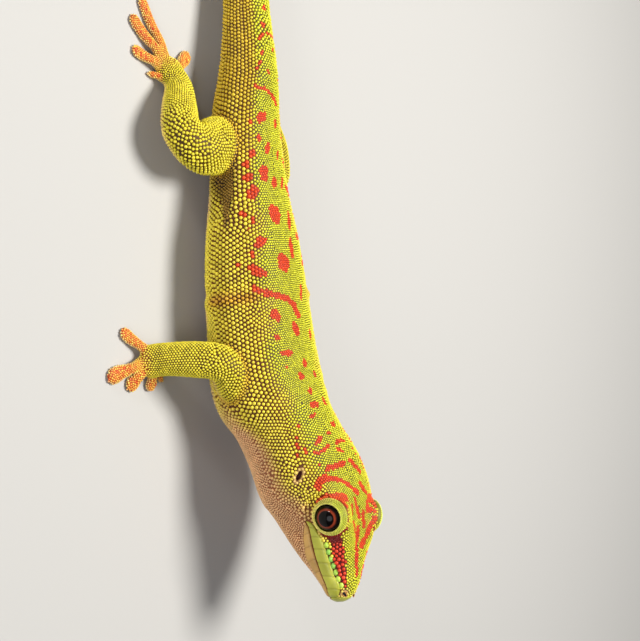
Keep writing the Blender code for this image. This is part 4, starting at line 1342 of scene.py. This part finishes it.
def set_scales(name, roots, rise, lie, sizes, tones, flat, shape, finish):
    """One joined piece of scales, made from their roots."""
    seeds = mesh_of(name + "_roots", roots, [])
    low = flat.min(0)
    span = (flat.max(0) - low).max()
    unwrap = 0.02 + 0.96 * (flat - low) / span
    unwrap = np.column_stack([unwrap, np.zeros(len(flat))])
    layers = {"rise": rise, "lie": lie, "size": sizes * MM, "root": unwrap}
    for layer, values in layers.items():
        made = seeds.data.attributes.new(layer, "FLOAT_VECTOR", "POINT")
        made.data.foreach_set("vector", np.asarray(values, np.float32).ravel())
    give_tones(seeds.data, tones)
    modifier = seeds.modifiers.new("scales", "NODES")
    modifier.node_group = tree_of_scales
    sockets = {item.name: item.identifier for item in tree_of_scales.interface.items_tree
               if item.in_out == "INPUT"}
    modifier[sockets["Scale Shape"]] = shape
    modifier[sockets["Finish"]] = finish
    modifier[sockets["Root Patch"]] = ROOT_PATCH
    piece = applied(seeds, name)
    for layer in ("rise", "lie", "size", "root", "patch"):
        extra = piece.data.attributes.get(layer)
        if extra:
            piece.data.attributes.remove(extra)
    heights = places_of(piece.data)
    heights[:, 2] = np.maximum(heights[:, 2], 0)
    piece.data.vertices.foreach_set("co", (heights * MM).astype(np.float32).ravel())
    piece.data.shade_smooth()
    piece.data.update()
    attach(piece, "root")


def scale_material(name, roughness):
    """Polished horn in its own tone, with a fine grain and a thin clear coat."""
    material = hide_material(name, roughness, 5200, 0.012)
    shader = material.node_tree.nodes["Principled BSDF"]
    shader.inputs["Coat Weight"].default_value = 0.2
    shader.inputs["Coat Roughness"].default_value = 0.25
    return material


tree_of_scales = scale_tree()
dome = scale_shape("dome_scale", 6, 0.55, 0.95, 0.14)
granule = scale_shape("granule_scale", 6, 0.5, 0.85, 0.0)
hide = Hide(parts.points, normals_of(skin.data), triangles_of(skin.data), scale_size(parts))
roots, rises, wide = sow_scales(hide)
scales = Parts(roots)
tones = coat_tones(scales)[0]
tones = tones * np.random.default_rng(TONE_SEED).normal(1.0, 0.07, (len(tones), 1)).clip(0.8, 1.2)
lie = lie_of(scales)
down = np.abs(scales.off)
proud = 0.92 + 0.08 * ease(24, 60, down)
proud = np.where(scales.is_limb, 0.95, proud)
fill = 0.83 + 0.05 * ease(30, 60, down) + 0.1 * (in_lore(scales.along, scales.off, roots) > 0)
fill = np.where(scales.is_limb, 0.89 - 0.04 * (scales.share > FOOT_FROM), fill)
uneven = np.random.default_rng(SIZE_SEED).normal(1.0, 0.08, len(roots)).clip(0.8, 1.16)
sizes = np.column_stack([0.52 * fill, 0.5 * fill, 0.5 * proud]) * (wide * uneven)[:, None]
flat = pelt_place(scales)
coat = scale_material("scales", 0.36)
tail_coat = scale_material("tail_scales", 0.38)
foot_coat = scale_material("foot_scales", 0.44)
on_foot = scales.is_limb & (scales.share > FOOT_FROM)
on_leg = scales.is_limb & ~on_foot
HEAD_END, NAPE_END, FORE_END, BACK_DOWN = 30, 56, 86, 60


def on_trunk(start, end):
    return ~scales.is_limb & (scales.along >= start) & (scales.along < end)


PATCHES = (
    ("scales_head", on_trunk(-1, HEAD_END), coat, "skin"),
    ("scales_nape", on_trunk(HEAD_END, NAPE_END), coat, "skin"),
    ("scales_fore_back", on_trunk(NAPE_END, FORE_END) & (down < BACK_DOWN), coat, "skin"),
    ("scales_hind_back", on_trunk(FORE_END, TAIL_START) & (down < BACK_DOWN), coat, "skin"),
    ("scales_flanks", on_trunk(NAPE_END, TAIL_START) & (down >= BACK_DOWN), coat, "skin"),
    ("scales_tail", on_trunk(TAIL_START, spine.length + 1), tail_coat, "tail_skin"),
    ("scales_forelegs", on_leg & (scales.leg < 2), coat, "skin"),
    ("scales_hindlegs", on_leg & (scales.leg >= 2), coat, "skin"),
    ("scales_forefeet", on_foot & (scales.leg < 2), foot_coat, "foot_skin"),
    ("scales_hindfeet", on_foot & (scales.leg >= 2), foot_coat, "foot_skin"),
)
for name, rows, finish, slot in PATCHES:
    shape = granule if "feet" in name or "head" in name else dome
    set_scales(name, roots[rows], rises[rows], lie[rows], sizes[rows], tones[rows], flat[rows],
               shape, finish)

spot = np.arange(ROW_FROM, ROW_TO, ROW_LONG * 0.93)
above = -mouth_drop(spot) + read(UPPER_LIP, spot)[:, 0]
above = above + np.degrees((LIP_OFF + ROW_TALL / 2) / girth(spot))
row_places = np.vstack([on_body(spot, side_angle(side, above), -COAT_DEPTH) for side in SIDES])
row_roots, row_rises, _ = hide.nearest(row_places)
row_parts = Parts(row_roots, trunk_only=True)
row_sizes = np.tile((ROW_LONG * 0.56, ROW_TALL * 0.6, ROW_TALL * 0.42), (len(row_roots), 1))
greener = ease(5, 8, row_parts.along) * ease(13, 11, row_parts.along)
row_tones = blend(GRANULE_LIME, GRANULE_GREEN, greener)
set_scales("scales_over_lip", row_roots, row_rises, lie_of(row_parts), row_sizes, row_tones,
           pelt_place(row_parts), granule, coat)

# The eyes
# A clear round eye with a wide pupil and a copper iris, under a wet film. Each is one hard ball,
# a little fuller in front, turned to its side of the head and sunk in its socket.

EYE_RINGS, EYE_AROUND, CORNEA = 48, 64, 0.05
# The eye's colours from the middle of the pupil out, in shares of four millimetres
IRIS = (
    (0.0, (4, 3, 3)), (0.44, (6, 4, 4)), (0.465, (50, 20, 12)), (0.49, (140, 56, 32)),
    (0.56, (120, 46, 26)), (0.6, (48, 20, 12)), (0.65, (9, 6, 5)), (1.0, (6, 4, 4)),
)


def eye_material(side):
    """Black pupil, copper iris and dark rim, in rings round the eye's own axis, under a wet coat."""
    material = bpy.data.materials.new(f"eye_{side}")
    material.use_nodes = True
    nodes, links = material.node_tree.nodes, material.node_tree.links
    shader = nodes["Principled BSDF"]
    where = nodes.new("ShaderNodeTexCoord")
    turn = turn_to(eye_axis(side)).inverted()
    centred = nodes.new("ShaderNodeMapping")
    centred.vector_type = "POINT"
    centred.inputs["Rotation"].default_value = turn.to_euler()
    moved = turn @ (Vector(eye_place(side)) * MM)
    centred.inputs["Location"].default_value = -moved
    links.new(where.outputs["Object"], centred.inputs["Vector"])
    spread = nodes.new("ShaderNodeVectorMath")
    spread.operation = "MULTIPLY"
    spread.inputs[1].default_value = (1 / MM, 1 / MM, 0)
    links.new(centred.outputs["Vector"], spread.inputs[0])
    radius = nodes.new("ShaderNodeVectorMath")
    radius.operation = "LENGTH"
    links.new(spread.outputs["Vector"], radius.inputs[0])
    fibres = nodes.new("ShaderNodeTexNoise")
    fibres.inputs["Scale"].default_value = 1500
    fibres.inputs["Detail"].default_value = 6
    links.new(where.outputs["Object"], fibres.inputs["Vector"])
    uneven = nodes.new("ShaderNodeMath")
    uneven.operation = "MULTIPLY_ADD"
    uneven.inputs[1].default_value = 0.25
    links.new(fibres.outputs["Fac"], uneven.inputs[0])
    links.new(radius.outputs["Value"], uneven.inputs[2])
    share = nodes.new("ShaderNodeMapRange")
    share.inputs["From Min"].default_value = 0.125
    share.inputs["From Max"].default_value = 4.125
    links.new(uneven.outputs["Value"], share.inputs["Value"])
    ramp = nodes.new("ShaderNodeValToRGB")
    links.new(share.outputs["Result"], ramp.inputs["Fac"])
    while len(ramp.color_ramp.elements) < len(IRIS):
        ramp.color_ramp.elements.new(0.5)
    for stop, (at, colour) in zip(ramp.color_ramp.elements, IRIS):
        stop.position = at
        stop.color = (*paint(*colour), 1)
    links.new(ramp.outputs["Color"], shader.inputs["Base Color"])
    shader.inputs["Roughness"].default_value = 0.2
    shader.inputs["Specular IOR Level"].default_value = 0.05
    shader.inputs["Coat Weight"].default_value = 0.4
    shader.inputs["Coat Roughness"].default_value = 0.02
    shader.inputs["Coat IOR"].default_value = 1.4
    return material


for side in SIDES:
    turn = np.linspace(0, 2 * math.pi, EYE_AROUND, endpoint=False)
    tilt = np.radians(np.linspace(1, 178, EYE_RINGS))
    bulge = 1 + CORNEA * np.exp(-((np.degrees(tilt) / 42) ** 2))
    wide, ahead = np.sin(tilt) * bulge, np.cos(tilt) * bulge
    shape = np.stack([np.outer(wide, np.cos(turn)), np.outer(wide, np.sin(turn)),
                      np.outer(ahead, np.ones(EYE_AROUND))], -1)[::-1]
    turned = shape.reshape(-1, 3) @ np.array(turn_to(eye_axis(side))).T
    placed = turned * (EYE_RADIUS - 0.1) + eye_place(side)
    eye = mesh_of(f"eyeball_{side}", *lofted(placed.reshape(shape.shape)))
    eye.data.materials.append(eye_material(side))
    eye.data.shade_smooth()
    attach(eye, "root")
    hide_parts(f"eye_{side}")

# The lids
# Each eye looks out of a round window with a fixed rim. The rim is a soft flattened roll of skin,
# wider above and behind, with rows of small pale granules.

LID_INNER, LID_RISE, LID_HEIGHT, LID_LEAN = 3.25, 0.5, 2.0, 0.85
LID_ROWS, LID_GRANULE, LID_MIDDLE = 6, 0.4, 3.7
LID_AROUND, LID_ROLL = 72, 14
LID_SKIN, LID_GREEN, LID_CREAM = paint(122, 118, 28), paint(238, 250, 88), paint(254, 242, 128)


def lid_place(side, turn, roll, lift=0.0):
    """Points of the lid's roll and the way out of it, by angles round the eye and round the roll."""
    turn, roll = np.broadcast_arrays(turn, roll)
    half = (lid_reach(turn) - LID_INNER) / 2
    under = np.where(np.sin(roll) < 0, 3.0, 1.0)
    out, up = np.cos(roll) * (half + lift), np.sin(roll) * (LID_RISE * under + lift)
    lean = -LID_LEAN * np.cos(roll) * half
    place = round_eye_place(side, turn, LID_INNER + half + out, LID_HEIGHT + up + lean)
    flat = unit(round_eye_place(side, turn, 1.0, 0.0) - eye_place(side))
    axis = eye_axis(side)
    outward, upward = np.cos(roll) * LID_RISE + 0.25, np.sin(roll) * half + 0.25
    way = unit(flat * outward[..., None] + axis * upward[..., None])
    return place, way, np.cross(axis, flat)


def ring_faces(around, roll):
    """The faces of a closed ring whose section is closed too."""
    return [(i * roll + j, (i + 1) % around * roll + j, (i + 1) % around * roll + (j + 1) % roll,
             i * roll + (j + 1) % roll) for i in range(around) for j in range(roll)]


lid_roots, lid_rises, lid_lies, lid_flat, lid_tones, lid_sizes = [], [], [], [], [], []
for number, side in enumerate(SIDES):
    turn = np.linspace(0, 2 * math.pi, LID_AROUND, endpoint=False)
    roll = np.linspace(0, 2 * math.pi, LID_ROLL, endpoint=False)
    rings, _, _ = lid_place(side, turn[:, None], roll[None, :])
    lid = mesh_of(f"lid_{side}", rings.reshape(-1, 3), ring_faces(LID_AROUND, LID_ROLL))
    face_out(lid)
    dress(lid, LID_SKIN, hide_material(f"lid_{side}", 0.5, 2600, 0.05))
    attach(lid, "root")
    for row in range(LID_ROWS):
        roll = math.radians(152 - row * 140 / (LID_ROWS - 1))
        count = int(2 * math.pi * LID_MIDDLE / LID_GRANULE)
        turn = (np.arange(count) + 0.5 * (row % 2)) * 2 * math.pi / count
        place, way, ahead = lid_place(side, turn, np.full(count, roll), -0.03)
        lid_roots.append(place)
        lid_rises.append(way)
        lid_lies.append(ahead)
        lid_flat.append(np.column_stack([turn * 4, np.full(count, number * 8 + row * 1.2)]))
        green = ease(-0.3, 0.8, np.cos(turn - math.radians(95)))
        green = green * ease(-0.5, 1.5, row) * ease(LID_ROWS + 0.5, LID_ROWS - 2.5, row)
        lid_tones.append(blend(LID_CREAM, LID_GREEN, green))
        half = (lid_reach(turn) - LID_INNER) / 2
        lid_sizes.append(np.column_stack([np.full(count, 0.165), 0.08 + 0.1 * half, np.full(count, 0.26)]))
lid_roots, lid_rises = np.vstack(lid_roots), np.vstack(lid_rises)
lid_tones = np.vstack(lid_tones) * np.random.default_rng(9).normal(1, 0.1, (len(lid_roots), 1))
set_scales("scales_lids", lid_roots, lid_rises, np.vstack(lid_lies), np.vstack(lid_sizes), lid_tones,
           np.vstack(lid_flat), granule, coat)

# The lips
# Smooth plates edge the closed mouth, olive green above and tan below, with one broad plate on
# the tip of the snout and one on the chin. Between the rows runs the dark red line of the mouth.

UPPER_SEAMS = (2.9, 5.8, 8.8, 11.8, 14.6, 17.2)
LOWER_SEAMS = (3.8, 6.8, 9.6, 12.5, 15.6, 18.0)
LIP_START, LIP_LIFT, SEAM_DEEP, MOUTH_LINE_HALF = 1.0, 0.2, 0.07, 0.13
UPPER_TONE, UPPER_DARK = paint(184, 184, 66), paint(120, 110, 30)
LOWER_TONE, LOWER_DARK = paint(200, 156, 86), paint(140, 96, 46)


def lip_band(side, upper):
    """One side's row of plates: a crowned band with a fine groove at each seam."""
    seams = np.array(UPPER_SEAMS if upper else LOWER_SEAMS)
    close = (seams[:, None] + np.array((-0.22, -0.1, -0.04, 0, 0.04, 0.1, 0.22))).ravel()
    even = np.arange(LIP_START, LIP_END + 0.1, 0.4)
    even = even[np.abs(even[:, None] - seams).min(1) > 0.3]
    spot = np.sort(np.concatenate([even, close]))
    share = np.array((0.0, 0.06, 0.16, 0.32, 0.5, 0.68, 0.84, 0.94, 1.0))
    u, v = np.meshgrid(spot, share, indexing="ij")
    slanted = u + 0.5 * (v - 0.5)
    seam = np.abs(slanted[..., None] - seams).min(-1)
    plate = np.digitize(slanted, seams)
    tall = lip_tall(UPPER_LIP if upper else LOWER_LIP, u) * (1 + 0.04 * np.sin(plate * 2.3))
    gap = np.degrees(LIP_OFF / np.maximum(girth(u), 2.2))
    above = -mouth_drop(u) + (gap + tall * v) * (1 if upper else -1)
    round_off = np.sqrt(np.clip(1 - np.abs(2 * v - 1) ** 4, 0, 1))
    end = ease(LIP_START, LIP_START + 0.4, u) * ease(LIP_END, LIP_END - 1.5, u)
    lift = -0.3 + (0.3 + LIP_LIFT * 0.7) * round_off * end - SEAM_DEEP * np.exp(-((seam / 0.11) ** 2))
    return band_shape(side, u, above, lift), np.exp(-((seam / 0.13) ** 2)), plate


def band_shape(side, spot, above, lift):
    """Points and faces of a closed plate with a flat underside sunk in the skin."""
    top = on_body(spot, side_angle(side, above), lift)
    bottom = on_body(spot, side_angle(side, above), -0.85)
    rows, columns = spot.shape
    under = rows * columns
    faces = []
    for i in range(rows - 1):
        for j in range(columns - 1):
            quad = (i * columns + j, i * columns + j + 1, (i + 1) * columns + j + 1, (i + 1) * columns + j)
            faces.append(quad)
            faces.append(tuple(index + under for index in reversed(quad)))
    rim = [i * columns for i in range(rows)] + [(rows - 1) * columns + j for j in range(1, columns)]
    rim += [i * columns + columns - 1 for i in range(rows - 2, -1, -1)] + list(range(columns - 2, 0, -1))
    for a, b in zip(rim, rim[1:] + rim[:1]):
        faces.append((a, b, b + under, a + under))
    return np.vstack([top.reshape(-1, 3), bottom.reshape(-1, 3)]), faces


def tip_plate(upper):
    """The broad plate at the tip of the snout or of the chin, over both sides of it."""
    spot, share = np.meshgrid(np.linspace(0.06, 1.1, 12), np.linspace(0, 1, 25), indexing="ij")
    drop = mouth_drop(spot)
    gap = np.degrees(LIP_OFF / np.maximum(girth(spot), 0.8))
    if upper:
        above = -drop + gap + (180 + 2 * drop - 2 * gap) * share
    else:
        above = -drop - gap - (180 - 2 * drop - 2 * gap) * share
    edge = np.minimum(np.minimum(share, 1 - share) * 9, (1.1 - spot) / 0.4)
    lift = -0.4 + (0.4 + LIP_LIFT * 0.8) * np.sqrt(np.clip(1 - (1 - np.clip(edge, 0, 1)) ** 2, 0, 1))
    return band_shape("left", spot, above, lift)


for name, upper, light, dark in (("upper_lip", True, UPPER_TONE, UPPER_DARK),
                                 ("lower_lip", False, LOWER_TONE, LOWER_DARK)):
    bands = [lip_band(side, upper) for side in SIDES]
    tip = tip_plate(upper)
    plates = mesh_of(name, *joined([band for band, _, _ in bands] + [tip]))
    face_out(plates)
    seams = np.concatenate([np.tile(seam.ravel(), 2) for _, seam, _ in bands] + [np.zeros(len(tip[0]))])
    number = np.concatenate([np.tile(plate.ravel(), 2) for _, _, plate in bands] + [np.zeros(len(tip[0]))])
    shade = 1 + 0.07 * np.sin(number * 2.1) + 0.08 * wobble_at(places_of(plates.data), 4, 17)
    dress(plates, blend(light, dark, 0.5 * seams) * shade[:, None], scale_material(name, 0.34))
    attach(plates, "root")

line = np.vstack([mouth_points["right"][::-1], mouth_points["left"]])
guide = bpy.data.curves.new("mouth_line", "CURVE")
guide.dimensions = "3D"
guide.bevel_depth = MOUTH_LINE_HALF * MM
guide.bevel_resolution = 2
guide.use_fill_caps = True
strand = guide.splines.new("POLY")
strand.points.add(len(line) - 1)
for dot, spot in zip(strand.points, line):
    dot.co = (*(spot * MM), 1)
mouth = bpy.data.objects.new("mouth_guide", guide)
bpy.context.scene.collection.objects.link(mouth)
mouth = applied(mouth, "mouth_line")
dress(mouth, paint(112, 34, 20), hide_material("mouth_line", 0.5, 3000, 0.03))
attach(mouth, "root")

# The nostrils
# A slanted opening near the tip on each side, in a small tan rim of bare skin. The rim is a soft roll round
# a shallow cup painted near black as the opening's shade, and both are sunk in the hide between the scales.

NOSTRIL_LONG, NOSTRIL_WIDE, NOSTRIL_ROLL = 0.8, 0.48, 0.1
RIM_AROUND, RIM_ROLL, CUP_RINGS = 28, 8, 9
for side in SIDES:
    out = out_of(side, NOSTRIL)
    back = spine.heading(np.array([NOSTRIL[0], 2.0]))
    slant = unit(np.cross(out, back[0]) + 0.9 * back[1])
    cross = np.cross(out, slant)
    middle = on_side(side, NOSTRIL, -COAT_DEPTH + 0.12)
    turn = np.linspace(0, 2 * math.pi, RIM_AROUND, endpoint=False)[:, None, None]
    roll = np.linspace(0, 2 * math.pi, RIM_ROLL, endpoint=False)[None, :, None]
    way = np.cos(turn) * slant + np.sin(turn) * cross
    path = middle + np.cos(turn) * slant * NOSTRIL_LONG + np.sin(turn) * cross * NOSTRIL_WIDE
    rings = path + NOSTRIL_ROLL * (np.cos(roll) * way + np.sin(roll) * out)
    rim = mesh_of(f"nostril_{side}", rings.reshape(-1, 3), ring_faces(RIM_AROUND, RIM_ROLL))
    face_out(rim)
    dress(rim, paint(196, 130, 70), hide_material(f"nostril_{side}", 0.45, 3000, 0.03))
    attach(rim, "root")
    dip = np.radians(np.linspace(2, 178, CUP_RINGS))[:, None, None]
    bowl = middle + np.sin(dip) * (path[None, :, 0, :] - middle) * 0.97 + np.cos(dip) * out * 0.09
    hole = mesh_of(f"nostril_hole_{side}", *lofted(bowl.reshape(CUP_RINGS, RIM_AROUND, 3)))
    face_out(hole)
    # Painted shade: the shallow cup is coloured near black.
    dress(hole, paint(14, 8, 6), hide_material(f"nostril_hole_{side}", 0.5, 3000, 0.03))
    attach(hole, "root")

# The floor, the light and the camera
# A plain pale floor under a large soft lamp from above, a weak one from the side and a small one
# for the glint in the eye. It is seen from above the animal's right side, with the head towards
# the bottom of the picture.

FLOOR_REACH = 3
floor_mesh = bpy.data.meshes.new("floor")
corners = [(x * FLOOR_REACH, y * FLOOR_REACH, 0) for x, y in ((-1, -1), (1, -1), (1, 1), (-1, 1))]
floor_mesh.from_pydata(corners, [], [(0, 1, 2, 3)])
floor = bpy.data.objects.new("floor", floor_mesh)
bpy.context.scene.collection.objects.link(floor)
floor_look = bpy.data.materials.new("floor")
floor_look.use_nodes = True
floor_shader = floor_look.node_tree.nodes["Principled BSDF"]
floor_shader.inputs["Base Color"].default_value = (0.5, 0.49, 0.47, 1)
floor_shader.inputs["Roughness"].default_value = 0.8
floor.data.materials.append(floor_look)

CAMERA_RISE = math.radians(34)
CAMERA_FAR = 300.0
LOOKED_AT = np.array((61.7, 31.6, 12.0))
PIXELS_PER_SLOPE, PICTURE_WIDE, FILM_WIDE = 1133.5, 640, 36


def aim(obj, place, target, up):
    """Point an object's -Z at a target, with its Y as near as it goes to up."""
    z = (Vector(place) - Vector(target)).normalized()
    x = Vector(up).cross(z).normalized()
    turned = Matrix((x, z.cross(x), z)).transposed().to_4x4()
    obj.matrix_world = Matrix.Translation(Vector(place) * MM) @ turned


def lamp(name, place, target, size, power, colour):
    light = bpy.data.lights.new(name, "AREA")
    light.shape = "DISK"
    light.size = size * MM
    light.energy = power
    light.color = colour
    obj = bpy.data.objects.new(name, light)
    bpy.context.scene.collection.objects.link(obj)
    aim(obj, place, target, (1, 0, 0.1))


lamp("key", (-60, 140, 620), (0, 0, 0), 260, 5.8, (1.0, 0.98, 0.94))
lamp("fill", (160, -520, 260), (0, 0, 10), 420, 1.3, (0.95, 0.97, 1.0))
lamp("spark", (-181, -276, 98), (43, 0, 34), 50, 0.32, (1.0, 0.97, 0.92))
world = bpy.data.worlds.new("studio")
world.use_nodes = True
sky = world.node_tree.nodes["Background"]
sky.inputs["Color"].default_value = (0.9, 0.93, 1.0, 1)
sky.inputs["Strength"].default_value = 0.15
bpy.context.scene.world = world
bpy.context.scene.view_settings.view_transform = "Standard"

forward = np.array((0, math.cos(CAMERA_RISE), -math.sin(CAMERA_RISE)))
camera = bpy.data.objects.new("camera", bpy.data.cameras.new("camera"))
bpy.context.scene.collection.objects.link(camera)
aim(camera, LOOKED_AT - CAMERA_FAR * forward, LOOKED_AT, (-1, 0, 0))
camera.data.sensor_fit = "HORIZONTAL"
camera.data.sensor_width = FILM_WIDE
camera.data.lens = FILM_WIDE * PIXELS_PER_SLOPE / PICTURE_WIDE
camera.data.clip_start = 0.01
bpy.context.scene.camera = camera

for shape in (dome, granule):
    bpy.data.objects.remove(shape, do_unlink=True)
